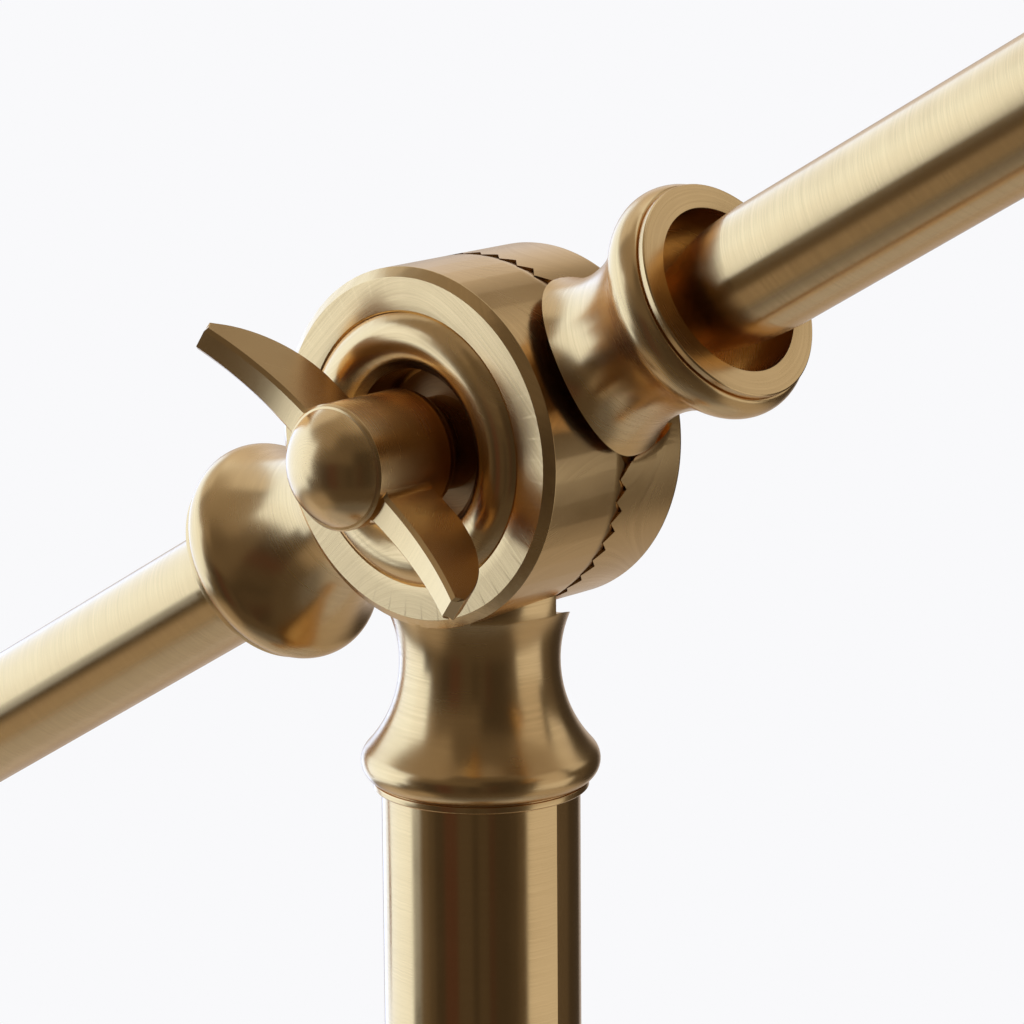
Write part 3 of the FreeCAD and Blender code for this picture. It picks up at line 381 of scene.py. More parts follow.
def brass(name, centre, axis, roughness, grain, anisotropy, streak=1.0, clean=None):
    """Satin brass, cleaned with an abrasive while it turned on a lathe: hairlines run round its axis
    and draw a highlight out across them, so bands stay crisp round a tube and soft along it."""
    finish = bpy.context.scene.lamp_finish
    tree = new_material(name)
    axis = Vector(axis).normalized()
    place = add_node(tree, "ShaderNodeTexCoord")
    local = add_node(tree, "ShaderNodeVectorMath", {0: place.outputs["Object"], 1: [1 / MM] * 3,
                                                    2: [-c for c in centre]}, operation="MULTIPLY_ADD")
    depth = add_node(tree, "ShaderNodeVectorMath", {0: local.outputs[0], 1: axis}, operation="DOT_PRODUCT")
    drop = add_node(tree, "ShaderNodeVectorMath", {0: axis, "Scale": depth.outputs["Value"]},
                    operation="SCALE")
    out = add_node(tree, "ShaderNodeVectorMath", {0: local.outputs[0], 1: drop.outputs[0]},
                   operation="SUBTRACT")
    radius = add_node(tree, "ShaderNodeVectorMath", {0: out.outputs[0]}, operation="LENGTH")
    radial = add_node(tree, "ShaderNodeVectorMath", {0: out.outputs[0]}, operation="NORMALIZE")
    round_axis = add_node(tree, "ShaderNodeVectorMath", {0: axis, 1: radial.outputs[0]},
                          operation="CROSS_PRODUCT")
    tangent = add_node(tree, "ShaderNodeVectorTransform", {0: round_axis.outputs[0]},
                       vector_type="VECTOR", convert_from="OBJECT", convert_to="WORLD")
    # Hairline spacing in mm across the brushing; drawn coarse enough to show at a pixel of 0.08 mm
    across = add_node(tree, "ShaderNodeMath", {0: radius.outputs["Value"], 1: 1.3,
                                               2: depth.outputs["Value"]}, operation="MULTIPLY_ADD")
    step = add_node(tree, "ShaderNodeMath", {0: across.outputs[0], 1: grain}, operation="DIVIDE")
    spread = add_node(tree, "ShaderNodeVectorMath", {0: radial.outputs[0], "Scale": 0.9}, operation="SCALE")
    hair = add_node(tree, "ShaderNodeTexNoise", {"Vector": spread.outputs[0], "W": step.outputs[0],
                                                 "Scale": 1.0, "Detail": 2.0, "Roughness": 0.6},
                    noise_dimensions="4D")
    cloud = add_node(tree, "ShaderNodeTexNoise", {"Vector": local.outputs[0], "Scale": 0.16,
                                                  "Detail": 3.0, "Roughness": 0.55})
    worn = add_node(tree, "ShaderNodeMapRange", span(cloud.outputs["Fac"], 0.35, 0.65, -0.02, 0.02))
    rough = add_node(tree, "ShaderNodeMapRange", span(hair.outputs["Fac"], 0.3, 0.7,
                                                      roughness - 0.03 * streak, roughness + 0.03 * streak))
    total = add_node(tree, "ShaderNodeMath", {0: rough.outputs[0], 1: worn.outputs[0]}, operation="ADD")
    share = add_node(tree, "ShaderNodeMapRange", span(hair.outputs["Fac"], 0.35, 0.75, 0.0, 0.22 * streak))
    # In the well, the brass between hairlines takes the darker colour: painted shade in the recess
    colour = add_node(tree, "ShaderNodeMix", {0: share.outputs[0], 6: (*(clean or finish.brass), 1),
                                              7: (*finish.brass_deep, 1)}, data_type="RGBA")
    bump = add_node(tree, "ShaderNodeBump", {"Strength": 1.0, "Distance": 0.35e-6 * streak,
                                             "Height": hair.outputs["Fac"]})
    shader = add_node(tree, "ShaderNodeBsdfPrincipled", {
        "Base Color": colour.outputs[2], "Metallic": 1.0, "Roughness": total.outputs[0],
        "Specular Tint": (1.0, 0.95, 0.86, 1), "Anisotropic": anisotropy, "Anisotropic Rotation": 0.25,
        "Normal": bump.outputs[0], "Tangent": tangent.outputs[0]})
    add_node(tree, "ShaderNodeOutputMaterial", {0: shader.outputs[0]})


def filed_brass(name, normal, along):
    """Brass end face dressed with a coarse file or belt: straight scratches one way across the face,
    deeper than the brushing, so the face breaks into fine light and dark lines."""
    finish = bpy.context.scene.lamp_finish
    tree = new_material(name)
    across = Vector(normal).cross(Vector(along)).normalized()
    place = add_node(tree, "ShaderNodeTexCoord")
    # Scratches 0.13 mm apart and 2.5 mm long
    reach = add_node(tree, "ShaderNodeVectorMath", {0: place.outputs["Object"], 1: across / MM / 0.13},
                     operation="DOT_PRODUCT")
    length = add_node(tree, "ShaderNodeVectorMath", {0: place.outputs["Object"],
                                                     1: Vector(along) / MM / 2.5},
                      operation="DOT_PRODUCT")
    spot = add_node(tree, "ShaderNodeCombineXYZ", {0: reach.outputs["Value"], 1: length.outputs["Value"]})
    marks = add_node(tree, "ShaderNodeTexNoise", {"Vector": spot.outputs[0], "Scale": 1.0, "Detail": 3.0,
                                                  "Roughness": 0.7})
    rough = add_node(tree, "ShaderNodeMapRange", span(marks.outputs["Fac"], 0.3, 0.7, 0.45, 0.65))
    share = add_node(tree, "ShaderNodeMapRange", span(marks.outputs["Fac"], 0.4, 0.7, 0.0, 0.5))
    colour = add_node(tree, "ShaderNodeMix", {0: share.outputs[0], 6: (*finish.brass, 1),
                                              7: (*finish.brass_deep, 1)}, data_type="RGBA")
    bump = add_node(tree, "ShaderNodeBump", {"Strength": 1.0, "Distance": 15e-6,
                                             "Height": marks.outputs["Fac"]})
    shader = add_node(tree, "ShaderNodeBsdfPrincipled", {
        "Base Color": colour.outputs[2], "Metallic": 1.0, "Roughness": rough.outputs[0],
        "Normal": bump.outputs[0]})
    add_node(tree, "ShaderNodeOutputMaterial", {0: shader.outputs[0]})


def grained(name, colour, roughness, grain, depth, metallic=0.0, spread=0.12):
    """Surface with an even grain, its size and depth in mm: paint over cast iron, which keeps the
    sand's dimples; zinc plate, a fine dull crystal; pressed felt, matt fibre; moulded plastic, a faint
    spark texture; opal glass, smooth with a soft shine."""
    tree = new_material(name)
    place = add_node(tree, "ShaderNodeTexCoord")
    local = add_node(tree, "ShaderNodeVectorMath", {0: place.outputs["Object"], "Scale": 1 / MM / grain},
                     operation="SCALE")
    speck = add_node(tree, "ShaderNodeTexNoise", {"Vector": local.outputs[0], "Scale": 1.0, "Detail": 4.0})
    tone = add_node(tree, "ShaderNodeMapRange", span(speck.outputs["Fac"], 0.3, 0.7,
                                                     1 - spread, 1 + spread))
    shade = add_node(tree, "ShaderNodeVectorMath", {0: colour, "Scale": tone.outputs[0]}, operation="SCALE")
    rough = add_node(tree, "ShaderNodeMapRange", span(speck.outputs["Fac"], 0.3, 0.7, roughness * 0.85,
                                                      min(1.0, roughness * 1.15)))
    bump = add_node(tree, "ShaderNodeBump", {"Strength": 1.0, "Distance": depth * MM,
                                             "Height": speck.outputs["Fac"]})
    shader = add_node(tree, "ShaderNodeBsdfPrincipled", {
        "Base Color": shade.outputs[0], "Metallic": metallic, "Roughness": rough.outputs[0],
        "Normal": bump.outputs[0]})
    add_node(tree, "ShaderNodeOutputMaterial", {0: shader.outputs[0]})


def colour_setting(name, description, code):
    return FloatVectorProperty(name=name, description=description, subtype="COLOR", size=3,
                               min=0, max=1, default=linear(code))


class LampFinish(PropertyGroup):
    brass: colour_setting("Brass", "Satin brass where it is cleanest", "#D6AB6D")
    brass_deep: colour_setting("Brass in hairlines", "Satin brass in its scratches", "#A88149")
    # Darker brass for the well round the screw: painted shade in the recess
    brass_painted_shade: colour_setting("Brass in the well", "Darker brass round the screw, painted shade in the well", "#7A5530")
    iron: colour_setting("Painted iron", "Black paint on the cast weight", "#2B2B2A")
    zinc: colour_setting("Zinc plate", "Washers, nuts and studs", "#C9CACB")
    felt: colour_setting("Felt", "Pad under the base", "#3A3836")
    plastic: colour_setting("Moulded plastic", "Lampholder and switch body", "#262422")
    opal: colour_setting("Opal glass", "Globe of the bulb", "#F4F1EA")


class LampClutch(PropertyGroup):
    disc_radius: FloatProperty(name="Disc radius", description="Outer radius of both toothed discs",
                               unit="LENGTH", default=0.01425)
    tooth_count: IntProperty(name="Teeth", description="Teeth round each disc", default=48, min=12)
    tooth_depth: FloatProperty(name="Tooth depth", description="Tip to valley at the rim",
                               unit="LENGTH", default=0.00093)
    rim_bevel: FloatProperty(name="Rim bevel", description="Width of the bevel round the front face",
                             unit="LENGTH", default=0.00075)
    boss_radius: FloatProperty(name="Boss radius", description="Raised ring on the front face",
                               unit="LENGTH", default=0.0108)


class LampWing(PropertyGroup):
    reach: FloatProperty(name="Reach", description="Screw axis to the tip of a wing",
                         unit="LENGTH", default=0.0159)
    root_thickness: FloatProperty(name="Thickness at the hub", description="Across a wing at the hub",
                                  unit="LENGTH", default=0.0028)
    tip_thickness: FloatProperty(name="Thickness at the tip", description="Across a wing at its tip",
                                 unit="LENGTH", default=0.00215)
    hub_radius: FloatProperty(name="Hub radius", description="Radius of the domed hub",
                              unit="LENGTH", default=0.00493)
    turn: FloatProperty(name="Turn", description="Angle of one wing from the level, seen from the front",
                        subtype="ANGLE", default=math.radians(145.5))


class LampStage(PropertyGroup):
    backdrop: colour_setting("Backdrop", "Pale floor and background", "#F9F9FB")
    backdrop_share: FloatProperty(name="Backdrop in the metal", subtype="FACTOR", min=0, max=1,
                                  description="How much of the backdrop the metal mirrors", default=0.35)
    floor_radius: FloatProperty(name="Floor radius", description="Where the floor has faded out",
                                unit="LENGTH", default=0.9)


# Pieces

class LAMP_OT_finishes(Operator):
    """Make the lamp's finishes"""
    bl_idname = "lamp.finishes"
    bl_label = "Finishes"

    def execute(self, context):
        finish = context.scene.lamp_finish
        # Turned about which point and axis, roughness, hairline spacing in mm, anisotropy, streak
        brass("brass_turned_post", POLE_FOOT, Z_AXIS, 0.24, 0.16, 0.4)
        brass("brass_tube_post", POLE_FOOT, Z_AXIS, 0.20, 0.08, 0.7)
        brass("brass_side_screw", CLUTCH, Y_AXIS, 0.28, 0.12, 0.5)
        brass("brass_face_screw", CLUTCH, Y_AXIS, 0.065, 0.10, 0.3, 0.3)
        brass("brass_bevel_screw", CLUTCH, Y_AXIS, 0.22, 0.10, 0.3)
        brass("brass_boss_screw", CLUTCH, Y_AXIS, 0.15, 0.10, 0.3, 0.5)
        brass("brass_dome", CLUTCH, Y_AXIS, 0.48, 0.10, 0.2, 0.6)
        # The well round the screw gets darker brass and more hairline colour: painted shade in the recess
        brass("brass_well_painted_shade", CLUTCH, Y_AXIS, 0.42, 0.20, 0.2, 1.5, finish.brass_painted_shade)
        brass("brass_wing", CLUTCH, Y_AXIS, 0.25, 0.10, 0.2, 0.6)
        brass("brass_turned_boom", CLUTCH, BOOM_AXIS, 0.25, 0.16, 0.4)
        brass("brass_lip_boom", CLUTCH, BOOM_AXIS, 0.22, 0.10, 0.3)
        brass("brass_tube_boom", CLUTCH, BOOM_AXIS, 0.22, 0.08, 0.7)
        brass("brass_turned_head", HEAD, Z_AXIS, 0.24, 0.16, 0.4)
        filed_brass("brass_filed_end", BOOM_AXIS, (Y_AXIS + Z_AXIS * 0.6).normalized())
        grained("painted_iron", finish.iron, 0.5, 1.2, 0.05)
        grained("zinc_plate", finish.zinc, 0.32, 0.5, 0.002, metallic=1.0)
        grained("pressed_felt", finish.felt, 0.95, 0.4, 0.15, spread=0.35)
        grained("moulded_plastic", finish.plastic, 0.4, 0.25, 0.01, spread=0.05)
        grained("opal_glass", finish.opal, 0.12, 2.0, 0.002, spread=0.02)
        return {"FINISHED"}


class LAMP_OT_clutch_front(Operator):
    """Build the fixed half of the clutch on its turned post neck"""
    bl_idname = "lamp.clutch_front"
    bl_label = "Clutch front"

    def execute(self, context):
        size = context.scene.lamp_clutch
        disc_r, bevel, boss_r = size.disc_radius / MM, size.rim_bevel / MM, size.boss_radius / MM
        lip_r = WELL_R + 0.4
        steps = [1] + [(drawn_edge(disc_r, s), s) for s in (0.55, 0.7, 0.85, EDGE_DRAW_DEPTH)]
        steps += [(disc_r, 4.0), (disc_r, FACE - 0.6, 0.07), 2, (disc_r - bevel, FACE, 0.06),
                 3, (boss_r + 0.9, FACE), (boss_r + 0.1, FACE, 0.05), (boss_r, FACE - 0.12), 6,
                 ((boss_r + lip_r) / 2, FACE + 1.05, lip_r, FACE - 0.2), (WELL_R, FACE - 0.6, 0.15), 4]
        mark = 0.03
        for i in range(9):
            steps += [(WELL_R + (mark if i % 2 else 0), FACE - 1.0 - 0.35 * i)]
        steps += [(WELL_R, WELL_FLOOR), (BUSH_HOLE_R, WELL_FLOOR)]
        inner = [4, (BUSH_HOLE_R, SPRING_WELL), (SPRING_WELL_R, SPRING_WELL)]
        values = {"disc_r": disc_r, "teeth": size.tooth_count, "depth": size.tooth_depth / MM}
        disc = toothed_disc("clutch_front", steps, inner, values, True, FRONT_FRAME, CLUTCH)
        post = neck_steps(POST_NECK, 0, 5, 5)
        post += [(STUD_BORE[0], POST_NECK["end_s"]), STUD_BORE, (0, STUD_BORE[1])]
        axis = CLUTCH - Y_AXIS * POST_OFFSET
        neck = turned("post_neck", post, DOWN_FRAME, axis)
        half = size.tooth_depth / MM / 2
        pocket = turned("pocket", [(0, half), (POST_POCKET_R, half), (POST_POCKET_R, -3 * disc_r),
                                   (0, -3 * disc_r)], FRONT_FRAME, CLUTCH, even_columns(256))
        neck = combine(neck, [pocket], "DIFFERENCE")
        mesh = combine(disc, [neck], "UNION")
        place_piece("clutch_front_half", mesh, "stand",
                    ["brass_turned_post", "brass_side_screw", "brass_bevel_screw", "brass_face_screw",
                     "brass_well_painted_shade", "brass_tube_post", "brass_boss_screw"], ["fixed_knuckle"])
        return {"FINISHED"}


class LAMP_OT_clutch_rear(Operator):
    """Build the moving half of the clutch with its two boom sockets"""
    bl_idname = "lamp.clutch_rear"
    bl_label = "Clutch rear"

    def execute(self, context):
        size = context.scene.lamp_clutch
        disc_r = size.disc_radius / MM
        raise_boom = Matrix.Rotation(-BOOM_ANGLE, 3, "Y")
        steps = [1, (disc_r, 1.2), (disc_r, 4.0), (disc_r, BACK, 0.4), 2, (BACK_WELL_R, BACK, 0.1),
                 (BACK_WELL_R, BACK - BACK_WELL), (BUSH_HOLE_R, BACK - BACK_WELL)]
        inner = [4, (BUSH_HOLE_R, SPRING_WELL), (SPRING_WELL_R, SPRING_WELL)]
        values = {"disc_r": disc_r, "teeth": size.tooth_count, "depth": size.tooth_depth / MM}
        disc = toothed_disc("clutch_rear", steps, inner, values, False, raise_boom @ BACK_FRAME, CLUTCH)
        disc = combine(disc, [self.bite(disc_r, size, raise_boom)], "DIFFERENCE")
        necks = []
        for side in (1, -1):
            socket = neck_steps(BOOM_SOCKET, 0, 3, 5)
            mouth = BOOM_SOCKET["end_s"]
            socket += [(SOCKET_BORE[0], mouth, 0.05), 4, SOCKET_BORE, (NIPPLE_BORE[0], SOCKET_BORE[1]),
                       NIPPLE_BORE, (0, NIPPLE_BORE[1])]
            outward = Matrix((Y_AXIS, Z_AXIS, X_AXIS * side)).transposed()
            neck = turned("socket", socket, raise_boom @ outward, CLUTCH)
            blends = [self.root_blend(disc_r, hand, raise_boom @ outward) for hand in (1, -1)]
            neck = combine(neck, blends, "UNION")
            pocket = turned("pocket", [(0, SOCKET_POCKET), (SOCKET_POCKET_R, SOCKET_POCKET),
                                       (SOCKET_POCKET_R, -3 * disc_r), (0, -3 * disc_r)],
                            BACK_FRAME, CLUTCH, even_columns(256))
            necks.append(combine(neck, [pocket], "DIFFERENCE"))
        mesh = combine(disc, necks, "UNION")
        place_piece("clutch_rear_half", mesh, "boom",
                    ["brass_turned_boom", "brass_side_screw", "brass_bevel_screw", "brass_lip_boom",
                     "brass_well_painted_shade", "brass_filed_end"], ["moving_knuckle"])
        return {"FINISHED"}

    def root_blend(self, disc_r, hand, frame_matrix):
        """Concave blend of a socket's root into the disc's side, as if a ball had rolled along both."""
        size = BOOM_SOCKET
        flare_r = size["neck_r"] + size["flare"]
        rings = []
        for degrees in np.linspace(BLEND_TURNS[-1], BLEND_TURNS[0], 40):
            ball = np.interp(degrees, BLEND_TURNS, BLEND_RADII)
            turn = math.radians(degrees)
            far, near = size["root_r"] + ball, size["neck_r"]
            for _ in range(40):
                r = (far + near) / 2
                s = math.sqrt((disc_r + ball) ** 2 - (r * math.sin(turn)) ** 2)
                open_air = math.hypot(r - flare_r, s - size["neck_s"]) < size["flare"] - ball
                far, near = (r, near) if open_air else (far, r)
            wall = Vector((r - flare_r, s - size["neck_s"])).normalized() * size["flare"]
            wall += Vector((flare_r, size["neck_s"]))
            if wall.x > size["root_r"]:
                r = size["root_r"] + ball
                s = math.sqrt((disc_r + ball) ** 2 - (r * math.sin(turn)) ** 2)
                wall = Vector((size["root_r"], s))
            centre = Vector((r * math.cos(turn), r * math.sin(turn), s))
            to_neck = Vector((wall.x * math.cos(turn), wall.x * math.sin(turn), wall.y)) - centre
            side = Vector((0, centre.y, centre.z)).normalized() * disc_r
            to_disc = Vector((centre.x, side.y, side.z)) - centre
            arc = [to_neck.slerp(to_disc, i / 8) * ball for i in range(9)]
            sunk = 1 + 0.012 / ball
            arc[0], arc[-1] = arc[0] * sunk, arc[-1] * sunk
            middle = (to_neck + to_disc).normalized()
            arc.append(middle * (ball / math.cos(to_neck.angle(to_disc) / 2) + 0.5))
            rings.append([centre + point for point in arc])
        count = len(rings[0])
        verts = [(x, hand * y, s) for ring in rings for x, y, s in ring]
        faces = [tuple(range(count)), tuple(range(len(verts) - count, len(verts)))]
        for i in range(len(rings) - 1):
            for j in range(count):
                k = (j + 1) % count
                faces.append((count * i + j, count * i + k, count * (i + 1) + k, count * (i + 1) + j))
        return solid("root_blend", verts, faces, frame_matrix, CLUTCH)

    def bite(self, disc_r, size, raise_boom):
        """Wedge cut from the outer edge beside both sockets; its sides follow the flanks of teeth."""
        turn = BITE_TEETH * math.tau / size.tooth_count
        depth = size.tooth_depth / MM
        lean = math.cos(turn) * math.pi * disc_r / size.tooth_count / depth
        verts, reach = [], 2 * disc_r
        for x in (-reach, reach):
            for s, side in ((-depth, -1), (-depth, 1), (SOCKET_POCKET, 1), (SOCKET_POCKET, -1)):
                half = disc_r * math.sin(turn) + lean * (depth / 2 + TOOTH_PLAY - s)
                verts.append((x, side * half, s))
        faces = [(0, 1, 2, 3), (7, 6, 5, 4)] + [(i, i + 4, (i + 1) % 4 + 4, (i + 1) % 4) for i in range(4)]
        wedge = solid("bite", verts, faces, raise_boom @ BACK_FRAME, CLUTCH)
        core = turned("core", [(0, -2 * depth), (BITE_R, -2 * depth), (BITE_R, disc_r), (0, disc_r)],
                      BACK_FRAME, CLUTCH, even_columns(256))
        return combine(wedge, [core], "DIFFERENCE")


class LAMP_OT_wing_screw(Operator):
    """Build the domed hub and its two wings"""
    bl_idname = "lamp.wing_screw"
    bl_label = "Wing screw"

    def execute(self, context):
        size = context.scene.lamp_wing
        hub_r = size.hub_radius / MM
        foot_r, foot = HUB_FOOT
        steps = [(0, HUB_START), 0, (foot_r, HUB_START), (foot_r, foot),
                 (foot_r + (hub_r - foot_r) * 0.72, foot + 0.54, hub_r, HUB_FULL),
                 (hub_r, 14.0), (hub_r, DOME_START - 0.26, 0.05), 1,
                 (hub_r - 0.16, DOME_START - 0.06, 0.04), (hub_r - 0.34, DOME_START), 2]
        rise = DOME_TOP - DOME_START
        ball = (DOME_R ** 2 + rise ** 2) / (2 * rise)
        half = math.asin(DOME_R / ball) / 2
        steps.append((ball * math.sin(half), DOME_TOP - ball + ball * math.cos(half), 0, DOME_TOP))
        hub = turned("hub", steps, FRONT_FRAME, CLUTCH, even_columns(128), count=28)
        blades = [self.blade(size, turn) for turn in (size.turn, size.turn + math.pi)]
        mesh = combine(hub, blades, "UNION")
        place_piece("wing_screw_head", mesh, "wing_screw",
                    ["brass_wing", "brass_lip_boom", "brass_dome"], ["wing_head"], 24.0)
        return {"FINISHED"}

    def blade(self, size, turn):
        """One wing as sections along its reach, thinner at the tip, filleted into the hub."""
        reach, hub_r = size.reach / MM, size.hub_radius / MM
        root, back, front = 1.0, WING_BACK, WING_FRONT
        tip_front = front + WING_TIP_RISE
        crest = [(root, front)] + arc_points((root + 0.97, front), (reach * 0.66, front + 0.25),
                                             (reach - 0.5, tip_front), 40) + [(reach, tip_front - 0.9)]
        belly = [(root, back)] + arc_points((reach * 0.5, back), (reach * 0.86, back + 2.6),
                                            (reach, tip_front - 0.9), 40)
        belly.insert(1, (reach * 0.5, back))
        fillet = 0.8
        half_root, half_tip = size.root_thickness / MM / 2, size.tip_thickness / MM / 2
        centre_y = half_root + fillet
        centre_x = math.sqrt((hub_r + fillet) ** 2 - centre_y ** 2)
        touch_x = centre_x * hub_r / (hub_r + fillet)
        xs = np.concatenate([[root, touch_x - 0.4], np.linspace(touch_x, centre_x, 8),
                             np.linspace(centre_x, reach - 0.5, 44)[1:], [reach - 0.25, reach - 0.01]])
        verts, faces = [], []
        for x in xs:
            top = np.interp(x, *zip(*crest))
            low = np.interp(x, *zip(*belly))
            half = half_root + (half_tip - half_root) * max(0.0, x - root) / (reach - root)
            if x < centre_x:
                half += fillet - math.sqrt(max(0.0, fillet ** 2 - (centre_x - max(x, touch_x)) ** 2))
            cut = min(0.3, 0.35 * (top - low))
            under = min(0.15, 0.3 * (top - low))
            verts += [(x, half, low + under), (x, half, top - cut), (x, half - cut, top),
                      (x, cut - half, top), (x, -half, top - cut), (x, -half, low + under),
                      (x, under - half, low), (x, half - under, low)]
        for i in range(len(xs) - 1):
            for j in range(8):
                k = (j + 1) % 8
                faces.append((8 * i + j, 8 * i + k, 8 * i + 8 + k, 8 * i + 8 + j))
        faces.append(tuple(range(8)))
        faces.append(tuple(8 * (len(xs) - 1) + j for j in range(8)))
        return solid("blade", verts, faces, FRONT_FRAME @ Matrix.Rotation(turn, 3, "Z"), CLUTCH)


class LAMP_OT_carried(Operator):
    """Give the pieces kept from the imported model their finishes"""
    bl_idname = "lamp.carried"
    bl_label = "Kept pieces"

    def execute(self, context):
        finishes = {
            "brass_tube_post": ["upper_pole", "lower_pole"],
            "brass_turned_post": ["pole_joiner", "foot_collar", "base_cover"],
            "brass_tube_boom": ["front_tube", "tail_tube"],
            "brass_turned_boom": ["tail_knob", "boom_tip", "back_cap"],
            "brass_turned_head": ["head_knuckle", "lampholder_cup", "shade", "shade_ring", "switch_knob",
                                  "switch_collar", "head_screw", "head_nut"],
            # The washer and bush sit in the well and take its painted shade
            "brass_well_painted_shade": ["thrust_washer", "clutch_bush"],
            "zinc_plate": ["base_washer", "base_nut", "base_rod", "pole_foot_insert", "pole_top_insert",
                           "neck_stud", "clamp_stud", "front_nipple", "tail_nipple", "head_nipple",
                           "release_spring", "bulb_cap"],
            "painted_iron": ["base_weight"],
            "pressed_felt": ["base_pad"],
            "moulded_plastic": ["cord_gland", "lampholder", "switch_body", "head_washer"],
            "opal_glass": ["bulb_glass"],
        }
        for finish, nodes in finishes.items():
            for name in nodes:
                for slot in frame["nodes"][name].material_slots:
                    slot.material = material(finish)
        return {"FINISHED"}


class LAMP_OT_stage(Operator):
    """Set up the floor, the studio light and the camera"""
    bl_idname = "lamp.stage"
    bl_label = "Stage"

    def execute(self, context):
        size = context.scene.lamp_stage
        self.world(context.scene, size)
        self.floor(context.scene, size)
        self.camera(context.scene)
        context.scene.view_settings.view_transform = "Standard"
        return {"FINISHED"}

    def world(self, scene, size):
        """Studio seen by direction: dark room, light panels, and a white backdrop for the camera."""
        world = bpy.data.worlds.new("studio")
        scene.world = world
        world.use_nodes = True
        tree = world.node_tree
        tree.nodes.clear()
        place = add_node(tree, "ShaderNodeTexCoord")
        part = add_node(tree, "ShaderNodeSeparateXYZ", {0: place.outputs["Generated"]})
        ahead = add_node(tree, "ShaderNodeMath", {0: part.outputs["Y"], 1: -1.0}, operation="MULTIPLY")
        turn = add_node(tree, "ShaderNodeMath", {0: part.outputs["X"], 1: ahead.outputs[0]},
                        operation="ARCTAN2")
        tilt = add_node(tree, "ShaderNodeMath", {0: part.outputs["Z"]}, operation="ARCSINE")
        around, height = (add_node(tree, "ShaderNodeMath", {0: value.outputs[0]}, operation="DEGREES")
                          for value in (turn, tilt))
        # Panels: from and to round the lamp, from and to in height, feather in degrees, strength,
        # redness. A later one covers an earlier one. First what the floor side sends up
        panels = [
            (-400, 400, -100, -34, 12, 0.15),
            (-400, 400, -100, -48, 12, 0.24),
            (-10, 96, -100, -34, 12, 0.095),
            (-168, -60, -100, -33, 20, 0.72),
            (-62, -18, -100, -36, 16, 0.42),
            (100, 222, -100, -36, 16, 0.50),
            (-400, 400, -100, -68, 14, 0.40),
            (-4, 104, -100, -60, 16, 0.20),
            # High panels, dim in front and brighter at the back and left
            (-400, 400, 32, 62, 14, 0.13),
            (-22, 42, 8, 34, 12, 0.15),
            (-44, -20, 8, 34, 10, 0.28),
            (-64, 2, 30, 64, 14, 0.34),
            (88, 150, 30, 64, 14, 0.36),
            (146, 186, 28, 64, 14, 0.72),
            (186, 208, 30, 64, 12, 0.28),
            (-400, 400, 62, 120, 12, 0.40),
            (100, 245, 60, 120, 12, 1.15),
            (-152, -70, 30, 66, 12, 0.90),
            # Narrow strips in the dark front, which draw the fine bands on tubes and beads
            (-36, -22, -32, 10, 4, 0.13),
            (-22, -14, -32, 10, 3, 0.09),
            (-2, 14, -32, 10, 3, 0.055, 1.75),
            (14, 31, -32, 10, 4, 0.085),
            (38, 50, -32, 10, 3, 0.08),
            (50, 57, -32, 10, 3, 0.05, 1.5),
            (74, 84, -32, 10, 4, 0.065),
            (84, 98, -32, 10, 4, 0.10),
            # Back right and back left
            (138, 162, -34, 12, 10, 0.10),
            (138, 164, 10, 36, 8, 0.85),
            (-162, -120, -34, 34, 14, 0.46),
            (-155, -120, 8, 30, 10, 0.98),
            (-168, -118, 50, 72, 10, 1.30),
            # Large key at the left and the smaller one at the right
            (-124, -46.5, -28, -10, 5, 1.90),
            (-64, -33, -15, 30, 4, 1.85),
            (-124, -56, -14.5, 31, 6, 2.00),
            (96, 140, -34, -8, 5, 0.95),
            (96, 131, -12, 34, 5, 0.66),
        ]
        seen = None
        for left, right, low, high, soft, strength, *redness in panels:
            mask = self.window(tree, around, height, left, right, low, high, soft)
            seen = add_node(tree, "ShaderNodeMix", {
                0: mask.outputs[0], 6: seen.outputs[2] if seen else self.glow(0.055),
                7: self.glow(strength, *redness)}, data_type="RGBA")
        # Backdrop: behind the lamp metal and glass see it too, and the camera sees it all round
        path = add_node(tree, "ShaderNodeLightPath")
        through = add_node(tree, "ShaderNodeMath", {0: path.outputs["Is Glossy Ray"],
                                                    1: path.outputs["Is Transmission Ray"]},
                           operation="MAXIMUM")
        mask = self.window(tree, around, height, -156, -122, -36, 60, 8)
        dimmed = add_node(tree, "ShaderNodeMath", {0: mask.outputs[0], 1: size.backdrop_share},
                          operation="MULTIPLY")
        behind = add_node(tree, "ShaderNodeMath", {0: through.outputs[0], 1: dimmed.outputs[0]},
                          operation="MULTIPLY")
        share = add_node(tree, "ShaderNodeMath", {0: path.outputs["Is Camera Ray"], 1: behind.outputs[0]},
                         operation="MAXIMUM")
        shown = add_node(tree, "ShaderNodeMix", {0: share.outputs[0], 6: seen.outputs[2],
                                                 7: (*size.backdrop, 1)}, data_type="RGBA")
        back = add_node(tree, "ShaderNodeBackground", {"Color": shown.outputs[2], "Strength": 1.0})
        add_node(tree, "ShaderNodeOutputWorld", {0: back.outputs[0]})

